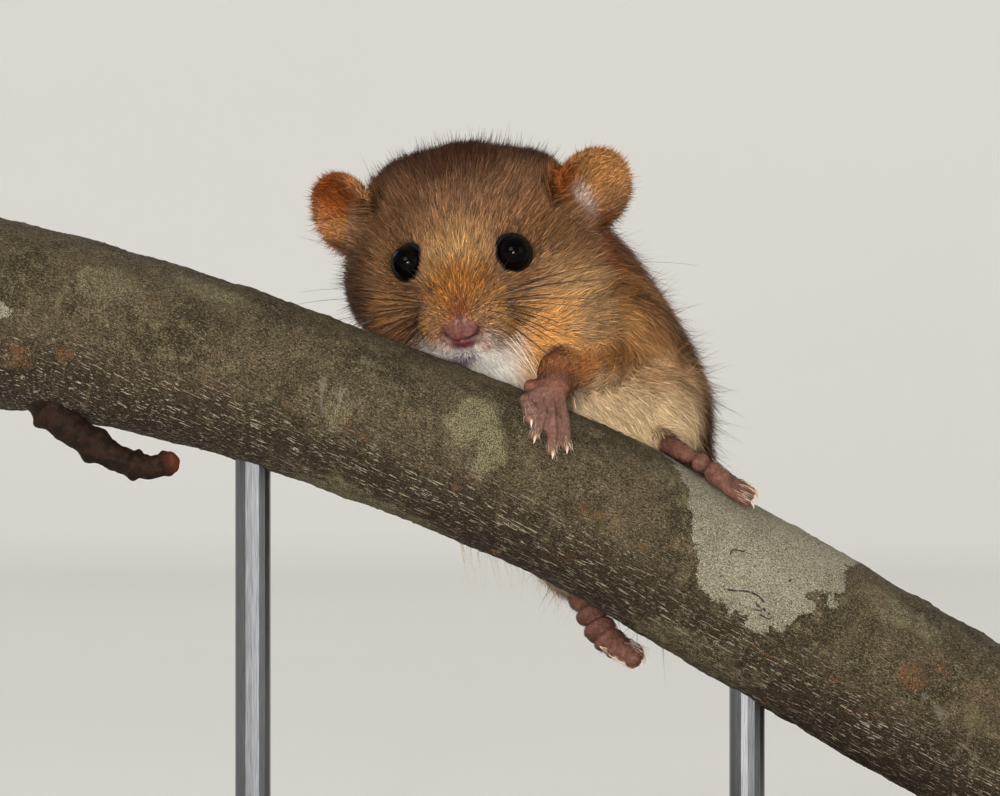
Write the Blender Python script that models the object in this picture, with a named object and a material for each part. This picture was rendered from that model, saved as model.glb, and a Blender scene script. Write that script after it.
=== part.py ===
"""Hazel dormouse, life size, clinging to a cut length of branch on a plain display stand.

Metres, +Z up. The origin is on the underside of the base, midway between the two rods and
straight below the perch. +X runs along the base towards the perch's lower end, and the
animal looks towards -Y, over the top of the perch.

Sizes below are in millimetres, and every mesh is written in metres. The body is one
smooth surface out to the tips of the coat, wrapped over balls and tapering rods of flesh
that melt into each other, and then parted with thin cuts into head, neck, trunk, legs,
feet and tail.
"""
import math

import bmesh
import bpy
import numpy as np
from mathutils import Euler, Matrix, Vector

MM = 0.001
GAP = 0.3  # between neighbouring pieces

# Display stand
BASE_LENGTH, BASE_WIDTH, BASE_HEIGHT = 96.0, 58.0, 4.0
BASE_SETBACK = 7.0  # of the base's middle behind the rods
BASE_CORNER, BASE_BEVEL = 7.0, 0.7
ROD_SPREAD = 21.0  # of each rod from the origin
ROD_RADIUS = 1.5
ROD_IN_BASE, ROD_IN_PERCH = 2.4, 3.0  # depths of the blind holes
OVERRUN = 6.0  # of a drill beyond the face it starts from

# Perch: where its axis runs and how thick it is there, as (x, z, radius)
PERCH_STATIONS = (
    (-44.6, 53.6, 8.1),
    (-34.0, 51.4, 7.5),
    (-20.0, 47.4, 7.05),
    (-6.0, 42.3, 6.95),
    (8.0, 36.3, 7.05),
    (22.0, 28.4, 7.3),
    (34.0, 21.5, 7.35),
    (44.6, 15.4, 7.2),
)
TWIG_PATH = (  # (x, y, z, radius)
    (-39.5, -1.5, 47.5, 1.9),
    (-37.2, -2.6, 44.3, 1.5),
    (-33.2, -3.6, 41.4, 1.2),
    (-29.8, -4.2, 40.2, 1.0),
    (-27.0, -4.4, 40.8, 0.85),
)

# Head: its own axes run right, forward and up from midway between the eyes
HEAD_AT = (-3.0, 4.5, 58.2)
HEAD_PITCH, HEAD_ROLL, HEAD_YAW = 21.5, -5.2, -8.0
EYE_AT, EYE_RADIUS = (4.75, 1.9, 0.6), 1.6
EAR_AT = (10.9, -6.2, 2.8)
EAR_TURN, EAR_TIP_BACK = 42.0, 8.0  # degrees from straight ahead, outwards and back
EAR_HALF_WIDTH, EAR_HALF_HEIGHT = 4.1, 3.6
EAR_CUP, EAR_THICKNESS = 1.1, 0.9

# Trunk: the line its balls are turned along, and the thin cuts that part off the neck
SPINE_TOP, SPINE_END = Vector((3.9, 14.5, 55.4)), Vector((12.1, 17.0, 30.0))
NECK_AT, NECK_WAY, NECK_LENGTH = Vector((3.2, 10.0, 54.8)), Vector((-0.62, -0.25, 0.74)), 3.2

# Tail, out to the tips of its coat, as (x, y, z, radius)
TAIL_PATH = (
    (12.6, 19.5, 30.5, 4.4),
    (16.5, 22.0, 28.0, 3.5),
    (22.5, 21.5, 26.2, 3.3),
    (29.0, 18.6, 23.0, 3.4),
    (35.0, 15.9, 19.6, 3.5),
    (41.0, 14.4, 16.2, 3.4),
    (46.5, 14.0, 13.8, 2.7),
    (50.2, 14.0, 12.6, 1.2),
)
TAIL_PARTINGS = {"tail_tip": 0.72, "tail_middle": 0.40, "tail_base": 0.13}  # shares of its length

# Digits that lie on the bark: knuckle and tip of each, as (x on the perch's axis, turn)
LEFT_FINGERS = (
    ((-0.5, 36.0), (0.1, 50.0)),
    ((0.2, 27.0), (1.5, 60.0)),
    ((1.0, 26.0), (2.7, 65.0)),
    ((1.8, 20.0), (3.7, 57.0)),
)
RIGHT_FINGERS = (
    ((-10.6, -66.0), (-12.6, -56.0)),
    ((-11.0, -75.0), (-13.8, -69.0)),
    ((-11.0, -84.0), (-13.8, -84.0)),
    ((-10.6, -93.0), (-12.8, -98.0)),
)
FINGER_RADII = (0.8, 0.56, 0.5, 0.44)  # in the palm, at the knuckle, midway and at the tip
LEFT_TOES = (
    ((14.4, 25.0), (16.9, 27.0)),
    ((14.7, 17.0), (17.2, 17.0)),
    ((14.7, 9.0), (17.2, 7.0)),
    ((14.4, 1.0), (16.6, -5.0)),
    ((13.3, -6.0), (15.0, -17.0)),
)
LEFT_TOE_RADII = (0.9, 0.72, 0.68, 0.58)
# Toes of the foot that hangs free: middle and tip of each, as points
RIGHT_TOES = (
    ((10.2, 3.1, 24.6), (11.4, 2.7, 23.5)),
    ((10.0, 4.4, 24.6), (11.3, 4.5, 23.6)),
    ((9.7, 5.4, 24.8), (10.9, 6.0, 23.8)),
    ((9.2, 6.2, 25.2), (10.2, 7.3, 24.3)),
    ((8.4, 6.6, 26.6), (9.0, 8.2, 25.8)),
)
RIGHT_TOE_RADII = (1.1, 0.95, 0.72)

# Surface
VOXEL = 0.27
PULLS, LONGEST_PULL = 4, 0.3  # that draw the voxel surface onto the flesh
BODY_TRIANGLES = 4200

# Finishes
COAT, BARE, PALE = (0.42, 0.20, 0.07), (0.45, 0.24, 0.20), (0.62, 0.44, 0.26)
EAR_SKIN, EYE_BLACK = (0.50, 0.20, 0.06), (0.004, 0.004, 0.005)
BARK, TWIG_BARK = (0.12, 0.10, 0.075), (0.16, 0.07, 0.04)
BASE_WOOD, ROD_STEEL = (0.05, 0.03, 0.02), (0.55, 0.55, 0.56)


# ---------------------------------------------------------------- flesh, as a distance field
class Flesh:
    """Balls and tapering rods with a distance to each, melted together where they meet."""

    def __init__(self):
        self.pieces = []

    def ball(self, centre, radii, axes=Matrix.Identity(3), melt=1.0):
        """An ellipsoid whose radii lie along the columns of axes."""
        self.pieces.append(("ball", np.array(centre), np.array(radii), np.array(axes), melt))

    def rod(self, points, radii, melt=1.0):
        """A chain of round tapering rods through the points."""
        for start, end, r_start, r_end in zip(points, points[1:], radii, radii[1:]):
            ends = np.array(start, float), np.array(end, float)
            self.pieces.append(("rod", *ends, (r_start, r_end), melt))

    def distance(self, at):
        """Signed distance in millimetres from each point to the surface."""
        whole = np.full(len(at), 1e3)
        for piece in self.pieces:
            kind, melt = piece[0], piece[-1]
            near = self.to_ball(at, *piece[1:4]) if kind == "ball" else self.to_rod(at, *piece[1:4])
            share = np.clip(0.5 + 0.5 * (whole - near) / melt, 0.0, 1.0)
            whole = whole * (1.0 - share) + near * share - melt * share * (1.0 - share)
        return whole

    @staticmethod
    def to_ball(at, centre, radii, axes):
        local = (at - centre) @ axes
        scaled = np.linalg.norm(local / radii, axis=1)
        steep = np.linalg.norm(local / radii**2, axis=1)
        return scaled * (scaled - 1.0) / np.maximum(steep, 1e-9)

    @staticmethod
    def to_rod(at, start, end, radii):
        run = end - start
        share = np.clip((at - start) @ run / max(run @ run, 1e-9), 0.0, 1.0)
        centre = start + share[:, None] * run
        return np.linalg.norm(at - centre, axis=1) - (radii[0] + share * (radii[1] - radii[0]))

    def rough_mesh(self):
        """Overlapping balls that fill the flesh, as the start of its surface."""
        bm = bmesh.new()
        for piece in self.pieces:
            if piece[0] == "ball":
                _, centre, radii, axes, _ = piece
                turn = Matrix(axes.tolist()).to_4x4()
                size = Matrix.Diagonal((*radii, 1.0))
                place = Matrix.Translation(Vector(centre)) @ turn @ size
                bmesh.ops.create_icosphere(bm, subdivisions=3, radius=1.0, matrix=place)
                continue
            _, start, end, radii, _ = piece
            beads = max(2, int(np.linalg.norm(end - start) / (0.4 * min(radii))) + 1)
            for share in np.linspace(0.0, 1.0, beads):
                centre = Vector(start + share * (end - start))
                size = radii[0] + share * (radii[1] - radii[0])
                place = Matrix.Translation(centre)
                bmesh.ops.create_icosphere(bm, subdivisions=2, radius=size, matrix=place)
        return bm


def slope(flesh, at, step=0.02):
    """Gradient of the distance, by differences."""
    out = np.empty_like(at)
    for axis in range(3):
        move = np.zeros(3)
        move[axis] = step
        out[:, axis] = (flesh.distance(at + move) - flesh.distance(at - move)) / (2 * step)
    return out


def points_of(mesh):
    flat = np.empty(len(mesh.vertices) * 3)
    mesh.vertices.foreach_get("co", flat)
    return flat.reshape(-1, 3)


def wrap(flesh, name, triangles):
    """One closed surface drawn tight over all the flesh, in about this many triangles."""
    bm = flesh.rough_mesh()
    bmesh.ops.scale(bm, vec=(MM, MM, MM), verts=bm.verts)
    mesh = bpy.data.meshes.new(name)
    bm.to_mesh(mesh)
    bm.free()
    skin = add_object(name, mesh)
    remesh = skin.modifiers.new("voxels", "REMESH")
    remesh.mode = "VOXEL"
    remesh.voxel_size = VOXEL * MM
    apply_modifiers(skin)
    at = points_of(skin.data) / MM
    for _ in range(PULLS):
        gradient = slope(flesh, at)
        pull = flesh.distance(at) / np.maximum((gradient**2).sum(1), 0.05)
        at -= gradient * np.clip(pull, -LONGEST_PULL, LONGEST_PULL)[:, None]
    skin.data.vertices.foreach_set("co", (at * MM).ravel())
    fewer = skin.modifiers.new("fewer", "DECIMATE")
    fewer.ratio = triangles / (2 * len(skin.data.polygons))
    apply_modifiers(skin)
    return skin


# ---------------------------------------------------------------- objects and Booleans
def add_object(name, mesh):
    made = bpy.data.objects.new(name, mesh)
    bpy.context.scene.collection.objects.link(made)
    return made


def apply_modifiers(thing):
    bpy.context.view_layer.update()
    evaluated = thing.evaluated_get(bpy.context.evaluated_depsgraph_get())
    mesh = bpy.data.meshes.new_from_object(evaluated)
    thing.modifiers.clear()
    thing.data = mesh


def boolean(thing, other, operation, solver="EXACT"):
    """Cuts the object by another, or keeps what lies inside it, and removes the other."""
    cut = thing.modifiers.new("cut", "BOOLEAN")
    cut.operation = operation
    cut.solver = solver
    cut.object = other
    apply_modifiers(thing)
    bpy.data.objects.remove(other, do_unlink=True)


def cut_away(thing, cutter, solver="EXACT"):
    boolean(thing, cutter, "DIFFERENCE", solver)


def keep_largest(thing):
    """Drops loose crumbs that a cut may leave beside the main body."""
    bm = bmesh.new()
    bm.from_mesh(thing.data)
    left, bodies = set(bm.verts), []
    while left:
        body, front = set(), [left.pop()]
        while front:
            vertex = front.pop()
            body.add(vertex)
            found = [e.other_vert(vertex) for e in vertex.link_edges]
            fresh = [v for v in found if v in left]
            left.difference_update(fresh)
            front.extend(fresh)
        bodies.append(body)
    bodies.sort(key=len)
    crumbs = [vertex for body in bodies[:-1] for vertex in body]
    if crumbs:
        bmesh.ops.delete(bm, geom=crumbs, context="VERTS")
        bm.to_mesh(thing.data)
    bm.free()


def thick_copy(thing):
    """The same surface, pushed out by GAP."""
    copy = add_object("thick", thing.data.copy())
    at, out = points_of(copy.data), np.empty(len(copy.data.vertices) * 3)
    copy.data.vertices.foreach_get("normal", out)
    copy.data.vertices.foreach_set("co", (at + out.reshape(-1, 3) * GAP * MM).ravel())
    return copy


def hull(name, balls, grow=0.0, fineness=2):
    """The skin stretched over some balls, each (centre, radius): a region for a thin cut."""
    bm = bmesh.new()
    for centre, radius in balls:
        place = Matrix.Translation(Vector(centre) * MM)
        size = (radius + grow) * MM
        bmesh.ops.create_icosphere(bm, subdivisions=fineness, radius=size, matrix=place)
    bmesh.ops.delete(bm, geom=bm.edges, context="EDGES_FACES")
    bmesh.ops.convex_hull(bm, input=bm.verts)
    inside = [vertex for vertex in bm.verts if not vertex.link_faces]
    bmesh.ops.delete(bm, geom=inside, context="VERTS")
    bmesh.ops.recalc_face_normals(bm, faces=bm.faces)
    mesh = bpy.data.meshes.new(name)
    bm.to_mesh(mesh)
    bm.free()
    return add_object(name, mesh)


def beyond(name, at, normal, grow=0.0, size=70.0):
    """A large box whose near face stands at a point and faces back along the normal."""
    turn = Vector(normal).normalized().to_track_quat("Z", "Y").to_matrix().to_4x4()
    lift = Matrix.Translation((0.0, 0.0, size / 2 - grow))
    place = Matrix.Translation(Vector(at)) @ turn @ lift
    bm = bmesh.new()
    bmesh.ops.create_cube(bm, size=size, matrix=place)
    bmesh.ops.scale(bm, vec=(MM, MM, MM), verts=bm.verts)
    mesh = bpy.data.meshes.new(name)
    bm.to_mesh(mesh)
    bm.free()
    return add_object(name, mesh)


def paint(thing, colour, roughness, metallic=0.0):
    finish = bpy.data.materials.new(thing.name + "_finish")
    finish.use_nodes = True
    shader = finish.node_tree.nodes["Principled BSDF"]
    shader.inputs["Base Color"].default_value = (*colour, 1.0)
    shader.inputs["Roughness"].default_value = roughness
    shader.inputs["Metallic"].default_value = metallic
    thing.data.materials.clear()
    thing.data.materials.append(finish)


# ---------------------------------------------------------------- perch
def smooth_path(stations, count):
    """Points on a Catmull-Rom curve through the stations, evenly spread over its spans."""
    rows = np.array(stations, float)
    rows = np.vstack([2 * rows[0] - rows[1], rows, 2 * rows[-1] - rows[-2]])
    out = []
    for place in np.linspace(0.0, len(stations) - 1 - 1e-9, count):
        span, t = int(place), place - int(place)
        a, b, c, d = rows[span : span + 4]
        out.append(
            0.5 * (2 * b + (c - a) * t + (2 * a - 5 * b + 4 * c - d) * t**2
                   + (3 * b - 3 * c + d - a) * t**3)
        )
    return np.array(out)


def tube(name, path, sides, grow=0.0, cap_grow=0.0):
    """A closed round tube along rows of (x, y, z, radius), flat at both ends."""
    bm = bmesh.new()
    centres, radii = path[:, :3].copy(), path[:, 3] + grow
    run = np.gradient(centres, axis=0)
    run /= np.linalg.norm(run, axis=1)[:, None]
    centres[0] -= run[0] * cap_grow
    centres[-1] += run[-1] * cap_grow
    rings = []
    for centre, along, radius in zip(centres, run, radii):
        side = np.cross(along, (0.0, 1.0, 0.0))
        side /= np.linalg.norm(side)
        other = np.cross(along, side)
        ring = []
        for turn in np.linspace(0.0, 2 * math.pi, sides, endpoint=False):
            spot = centre + radius * (math.cos(turn) * side + math.sin(turn) * other)
            ring.append(bm.verts.new(Vector(spot) * MM))
        rings.append(ring)
    for ring, following in zip(rings, rings[1:]):
        for k in range(sides):
            n = (k + 1) % sides
            bm.faces.new((ring[k], ring[n], following[n], following[k]))
    bm.faces.new(rings[0][::-1])
    bm.faces.new(rings[-1])
    bmesh.ops.recalc_face_normals(bm, faces=bm.faces)
    mesh = bpy.data.meshes.new(name)
    bm.to_mesh(mesh)
    bm.free()
    return add_object(name, mesh)


def perch_path(count=14):
    rows = [(x, 0.0, z, radius) for x, z, radius in PERCH_STATIONS]
    return smooth_path(rows, count)


def on_bark(x, turn, height):
    """A point over the bark beside the axis at x: turn in degrees from the top to the front."""
    path = perch_path(120)
    place = int(np.clip(np.searchsorted(path[:, 0], x), 1, len(path) - 2))
    along = path[place + 1] - path[place - 1]
    up = Vector((-along[2], 0.0, along[0])).normalized()
    out = up * math.cos(math.radians(turn)) + Vector((0, -1, 0)) * math.sin(math.radians(turn))
    return Vector(path[place][:3]) + out * (path[place][3] + height)


def make_perch():
    branch = tube("perch_branch", perch_path(), 24)
    twig = tube("perch_twig", smooth_path(TWIG_PATH, 10), 9)
    clear = tube("branch_clearance", perch_path(), 24, grow=GAP, cap_grow=GAP)
    cut_away(twig, clear)
    keep_largest(twig)
    paint(branch, BARK, 0.85)
    paint(twig, TWIG_BARK, 0.8)
    return branch


# ---------------------------------------------------------------- stand
def cylinder(name, x, y, bottom, top, radius, sides=16):
    bm = bmesh.new()
    place = Matrix.Translation(Vector((x, y, (bottom + top) / 2)) * MM)
    bmesh.ops.create_cone(
        bm, cap_ends=True, segments=sides, radius1=radius * MM, radius2=radius * MM,
        depth=(top - bottom) * MM, matrix=place,
    )
    mesh = bpy.data.meshes.new(name)
    bm.to_mesh(mesh)
    bm.free()
    return add_object(name, mesh)


def make_stand(branch):
    bm = bmesh.new()
    middle = Vector((0.0, BASE_SETBACK, BASE_HEIGHT / 2)) * MM
    bmesh.ops.create_cube(bm, size=1.0)
    size = Vector((BASE_LENGTH, BASE_WIDTH, BASE_HEIGHT)) * MM
    bmesh.ops.scale(bm, vec=size, verts=bm.verts)
    bmesh.ops.translate(bm, vec=middle, verts=bm.verts)
    upright = [e for e in bm.edges if abs(e.verts[0].co.z - e.verts[1].co.z) > 0.5 * size.z]
    rounding = {"affect": "EDGES", "profile": 0.5}
    bmesh.ops.bevel(bm, geom=upright, offset=BASE_CORNER * MM, segments=5, **rounding)
    rim = [e for e in bm.edges if min(v.co.z for v in e.verts) > 0.9 * size.z]
    bmesh.ops.bevel(bm, geom=rim, offset=BASE_BEVEL * MM, segments=2, **rounding)
    mesh = bpy.data.meshes.new("stand_base")
    bm.to_mesh(mesh)
    bm.free()
    base = add_object("stand_base", mesh)
    for name, x in (("stand_rod_long", -ROD_SPREAD), ("stand_rod_short", ROD_SPREAD)):
        station = perch_path(200)
        nearest = station[np.argmin(abs(station[:, 0] - x))]
        under = nearest[2] - nearest[3]
        top = under + ROD_IN_PERCH
        foot = BASE_HEIGHT - ROD_IN_BASE
        rod = cylinder(name, x, 0.0, foot, top, ROD_RADIUS)
        paint(rod, ROD_STEEL, 0.3, 1.0)
        hole = cylinder("hole", x, 0.0, foot - GAP, BASE_HEIGHT + OVERRUN, ROD_RADIUS + GAP)
        cut_away(base, hole)
        hole = cylinder("hole", x, 0.0, under - OVERRUN, top + GAP, ROD_RADIUS + GAP)
        cut_away(branch, hole)
    paint(base, BASE_WOOD, 0.4)


# ---------------------------------------------------------------- the animal's flesh
def head_turn():
    pitch, roll, yaw = (math.radians(a) for a in (HEAD_PITCH, HEAD_ROLL, HEAD_YAW))
    turn = Matrix.Rotation(yaw, 3, "Z") @ Matrix.Rotation(roll, 3, "Y")
    return turn @ Matrix.Rotation(pitch, 3, "X")


def in_head(right, forward, up):
    return Vector(HEAD_AT) + head_turn() @ Vector((right, -forward, up))


def eye_centre(side):
    return in_head(side * EYE_AT[0], EYE_AT[1], EYE_AT[2])


def add_head(flesh):
    def part(right, forward, up, wide, long, high, melt, nod=0.0):
        tilt = head_turn() @ Matrix.Rotation(math.radians(nod), 3, "X")
        flesh.ball(in_head(right, forward, up), (wide, long, high), tilt, melt)

    part(0.0, -7.0, -0.8, 9.2, 8.6, 8.0, 1.0)  # skull
    for side in (-1, 1):
        part(side * 4.7, -7.8, 2.0, 4.4, 5.6, 4.8, 1.5)  # crown behind each ear
    part(0.0, -1.6, 0.2, 6.4, 6.0, 5.6, 2.0)  # forehead
    part(0.0, 2.2, -2.5, 3.9, 6.4, 4.2, 2.0, nod=12.0)  # bridge of the nose
    part(0.0, 5.6, -3.2, 2.5, 3.3, 2.4, 1.2)  # muzzle
    part(0.0, 3.4, -6.2, 3.4, 4.2, 2.3, 1.5)  # chin
    part(0.0, -3.0, -7.0, 6.4, 6.2, 4.4, 2.0)  # throat
    for side in (-1, 1):
        part(side * 4.9, -3.2, -3.1, 6.6, 6.6, 6.2, 1.8)  # cheek
        part(side * 1.8, 5.3, -4.1, 2.2, 2.8, 2.15, 1.0)  # whisker pad
    part(0.0, 7.9, -3.0, 1.4, 0.9, 1.25, 0.5)  # nose


def add_trunk(flesh):
    along = (SPINE_END - SPINE_TOP).normalized()
    back = Vector((0, 1, 0)).cross(along).cross(along).normalized()
    across = back.cross(along)
    axes = Matrix((across, back, along)).transposed()
    flesh.ball((4.6, 13.8, 56.2), (7.2, 7.6, 7.5), axes, 2.0)  # neck
    flesh.ball((6.7, 15.4, 50.0), (9.3, 8.6, 9.5), axes, 2.5)  # chest
    flesh.ball((10.4, 16.0, 46.4), (8.1, 8.6, 7.6), axes, 2.5)  # hump of the back
    flesh.ball((8.4, 17.0, 42.3), (10.4, 9.5, 11.5), axes, 2.5)  # belly
    flesh.ball((10.6, 17.0, 35.6), (8.6, 9.0, 8.6), axes, 2.5)  # rump


def add_forelegs(flesh):
    shoulder, elbow = (9.0, 12.4, 53.6), (12.0, 9.2, 50.0)
    wrist, palm = (5.0, 0.5, 48.9), on_bark(1.0, 14.0, 1.35)
    flesh.rod((shoulder, elbow), (4.2, 2.9), 1.5)
    flesh.rod((elbow, (8.2, 4.2, 49.6), wrist), (2.5, 2.0, 1.5), 1.0)
    flesh.rod((wrist, palm), (1.5, 1.2), 0.8)
    for knuckle, tip in LEFT_FINGERS:
        add_digit(flesh, palm, knuckle, tip, FINGER_RADII)
    thumb = on_bark(-0.9, 12.0, 0.85)
    flesh.rod((palm, thumb), (0.9, 0.6), 0.4)

    shoulder, elbow = (-0.4, 14.6, 51.4), (-3.2, 13.6, 46.8)
    wrist, palm = (-6.6, 9.8, 45.4), on_bark(-9.0, -79.0, 1.35)
    flesh.rod((shoulder, elbow), (4.0, 2.8), 1.5)
    flesh.rod((elbow, wrist), (2.4, 1.6), 1.0)
    flesh.rod((wrist, palm), (1.5, 1.2), 0.8)
    for knuckle, tip in RIGHT_FINGERS:
        add_digit(flesh, palm, knuckle, tip, FINGER_RADII)


def add_digit(flesh, palm, knuckle, tip, radii, melt=0.15):
    """A finger or toe that lies along the bark from the palm out to its tip."""
    middle = [(a + b) / 2 for a, b in zip(knuckle, tip)]
    spots = [on_bark(*spot, GAP + radius) for spot, radius in
             zip((knuckle, middle, tip), radii[1:])]
    flesh.rod((palm, *spots), radii, melt)


def add_hindlegs(flesh):
    flesh.rod(((13.0, 17.5, 38.6), (14.4, 12.6, 43.4)), (6.0, 4.2), 2.0)
    flesh.rod(((14.4, 12.6, 43.4), (12.9, 5.6, 42.4)), (3.5, 1.8), 1.2)
    heel = (12.6, 3.2, 42.0)
    sole, ball = on_bark(11.2, 12.0, 1.2), on_bark(13.0, 20.0, 1.1)
    flesh.rod(((12.9, 5.6, 42.4), heel, sole, ball), (1.6, 1.25, 1.05, 0.95), 0.8)
    for knuckle, tip in LEFT_TOES:
        add_digit(flesh, ball, knuckle, tip, LEFT_TOE_RADII, 0.3)

    flesh.rod(((8.0, 17.5, 33.4), (2.8, 13.4, 35.0)), (6.0, 3.8), 2.0)
    flesh.rod(((2.8, 13.4, 35.0), (4.6, 10.2, 32.4)), (3.2, 1.9), 1.2)
    ball = (8.9, 3.7, 25.8)
    foot = ((4.6, 10.2, 32.4), (6.0, 7.4, 30.2), (7.6, 4.9, 27.7), ball)
    flesh.rod(foot, (1.8, 1.45, 1.45, 1.25), 0.8)
    for middle, tip in RIGHT_TOES:
        flesh.rod((ball, middle, tip), RIGHT_TOE_RADII, 0.4)


def add_tail(flesh):
    path = smooth_path(TAIL_PATH, 22)
    flesh.rod([tuple(row[:3]) for row in path], list(path[:, 3]), 0.8)


def body_flesh():
    flesh = Flesh()
    add_trunk(flesh)
    add_head(flesh)
    add_forelegs(flesh)
    add_hindlegs(flesh)
    add_tail(flesh)
    return flesh


# ---------------------------------------------------------------- ears and eyes
def make_ear(name, side):
    """A round cupped leaf: rings of points on its front and back that share the rim."""
    rings, spokes = 4, 18
    turn = head_turn() @ Euler((math.radians(-EAR_TIP_BACK), 0, 0)).to_matrix()
    turn = turn @ Matrix.Rotation(math.radians(side * EAR_TURN), 3, "Z")
    centre = in_head(side * EAR_AT[0], EAR_AT[1], EAR_AT[2])
    bm = bmesh.new()

    def spot(share, angle, face):
        wide = EAR_HALF_WIDTH * share * math.cos(angle)
        high = EAR_HALF_HEIGHT * share * math.sin(angle)
        sunk = EAR_CUP * (1.0 - share**2)
        thick = EAR_THICKNESS * math.sqrt(max(0.0, 1.0 - share**4)) / 2
        local = Vector((wide, sunk - face * thick, high))
        return bm.verts.new((centre + turn @ local) * MM)

    angles = [2 * math.pi * k / spokes for k in range(spokes)]
    shares = [1.0 - (1.0 - k / rings) ** 1.6 for k in range(1, rings)]
    rim = [spot(1.0, angle, 0) for angle in angles]
    for face in (1, -1):
        middle = spot(0.0, 0.0, face)
        inner = [[spot(share, angle, face) for angle in angles] for share in shares]
        inner.append(rim)
        for k in range(spokes):
            n = (k + 1) % spokes
            bm.faces.new((middle, inner[0][k], inner[0][n]))
            for ring, outer in zip(inner, inner[1:]):
                bm.faces.new((ring[k], outer[k], outer[n], ring[n]))
    bmesh.ops.recalc_face_normals(bm, faces=bm.faces)
    mesh = bpy.data.meshes.new(name)
    bm.to_mesh(mesh)
    bm.free()
    return add_object(name, mesh)


def make_eye(name, side):
    bm = bmesh.new()
    place = Matrix.Translation(eye_centre(side) * MM)
    bmesh.ops.create_icosphere(bm, subdivisions=2, radius=EYE_RADIUS * MM, matrix=place)
    mesh = bpy.data.meshes.new(name)
    bm.to_mesh(mesh)
    bm.free()
    eye = add_object(name, mesh)
    paint(eye, EYE_BLACK, 0.06)
    return eye


# ---------------------------------------------------------------- parting the body into nodes
def regions():
    """Where each cut goes, in order: (node, maker of the region)."""
    tail = smooth_path(TAIL_PATH, 22)

    def past_tail(node):
        place = int(TAIL_PARTINGS[node] * (len(tail) - 1))
        run = tail[place + 1][:3] - tail[place - 1][:3]
        return node, past(tail[place][:3], run)

    def balls(*spots):
        return lambda name, grow: hull(name, spots, grow)

    def past(at, normal):
        return lambda name, grow: beyond(name, at, normal, grow)

    return (
        past_tail("tail_tip"),
        past_tail("tail_middle"),
        past_tail("tail_base"),
        ("forefoot_left", balls(((3.4, -4.6, 43.9), 5.4))),
        ("foreleg_left", balls(((12.2, 9.0, 50.2), 4.0), ((4.6, -0.3, 48.6), 3.2))),
        ("forefoot_right", balls(((-9.8, 8.0, 44.8), 4.2), ((-13.4, 7.6, 45.0), 4.4))),
        ("foreleg_right", balls(((-3.4, 13.4, 46.6), 4.0), ((-7.6, 9.6, 45.2), 3.2))),
        ("hindfoot_left", balls(((13.9, -1.0, 42.0), 2.8), ((19.6, -0.6, 38.4), 4.2))),
        ("hindleg_left", balls(((14.5, 13.0, 43.2), 5.4), ((12.6, 3.2, 42.2), 3.2))),
        ("hindfoot_right", balls(((7.2, 5.6, 28.4), 2.7), ((10.3, 5.0, 24.6), 4.2))),
        ("hindleg_right", balls(((2.4, 13.4, 35.0), 5.0), ((5.6, 8.6, 30.8), 3.0))),
        ("head", past(NECK_AT, NECK_WAY)),
        ("neck", past(NECK_AT - NECK_WAY.normalized() * NECK_LENGTH, NECK_WAY)),
    )


def part_body(body):
    """Cuts the body into its nodes with gaps as thin as GAP, and returns them by name."""
    nodes = {}
    for name, region in regions():
        nodes[name] = add_object(name, body.data.copy())
        boolean(nodes[name], region("inside", 0.0), "INTERSECT", "MANIFOLD")
        cut_away(body, region("around", GAP), "MANIFOLD")
        keep_largest(nodes[name])
        keep_largest(body)
    body.name = "trunk"
    nodes["trunk"] = body
    return nodes


def make_animal():
    body = wrap(body_flesh(), "body", BODY_TRIANGLES)
    clear = tube("clearance", perch_path(), 24, grow=GAP, cap_grow=GAP)
    cut_away(body, clear, "MANIFOLD")
    keep_largest(body)
    ears = {"ear_left": 1, "ear_right": -1}
    eyes = {"eye_left": 1, "eye_right": -1}
    for name, side in ears.items():
        ear = make_ear(name, side)
        cut_away(ear, thick_copy(body), "MANIFOLD")
        keep_largest(ear)
        paint(ear, EAR_SKIN, 0.8)
    nodes = part_body(body)
    for name, side in eyes.items():
        make_eye(name, side)
        socket = hull("socket", ((eye_centre(side), EYE_RADIUS),), GAP)
        cut_away(nodes["head"], socket, "MANIFOLD")
        keep_largest(nodes["head"])
    for name, node in nodes.items():
        colour = PALE if name == "trunk" else BARE if "foot" in name else COAT
        paint(node, colour, 0.85)
        node.data.shade_smooth()


def main():
    for thing in list(bpy.data.objects):
        bpy.data.objects.remove(thing, do_unlink=True)
    branch = make_perch()
    make_stand(branch)
    make_animal()


main()
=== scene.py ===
"""Looks of the hazel dormouse on its cut length of branch.

Everything is in metres, in the frame of the solids: +Z up, the origin on the underside of the
base. Sizes below are in millimetres. One skin stands for all the nodes of flesh and lies
under the coat by the coat's depth; the coat is laid over it as many thin curved tufts.
"""
import math

import bmesh
import bpy
import numpy as np
from mathutils import Euler, Matrix, Vector
from mathutils.kdtree import KDTree


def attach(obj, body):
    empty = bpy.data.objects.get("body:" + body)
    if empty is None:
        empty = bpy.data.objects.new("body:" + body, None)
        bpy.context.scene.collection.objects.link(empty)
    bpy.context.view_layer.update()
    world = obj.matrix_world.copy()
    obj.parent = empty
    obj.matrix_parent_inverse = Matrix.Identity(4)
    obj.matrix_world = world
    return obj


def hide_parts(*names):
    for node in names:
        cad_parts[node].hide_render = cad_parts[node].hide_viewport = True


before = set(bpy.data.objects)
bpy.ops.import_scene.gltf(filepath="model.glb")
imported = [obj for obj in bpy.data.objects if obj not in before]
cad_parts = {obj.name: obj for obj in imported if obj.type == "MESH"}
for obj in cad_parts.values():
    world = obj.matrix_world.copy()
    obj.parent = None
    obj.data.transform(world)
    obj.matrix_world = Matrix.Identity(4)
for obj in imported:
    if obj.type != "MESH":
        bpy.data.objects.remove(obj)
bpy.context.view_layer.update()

MM = 0.001
GAP = 0.3  # between neighbouring solids
SEED = 7

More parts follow.
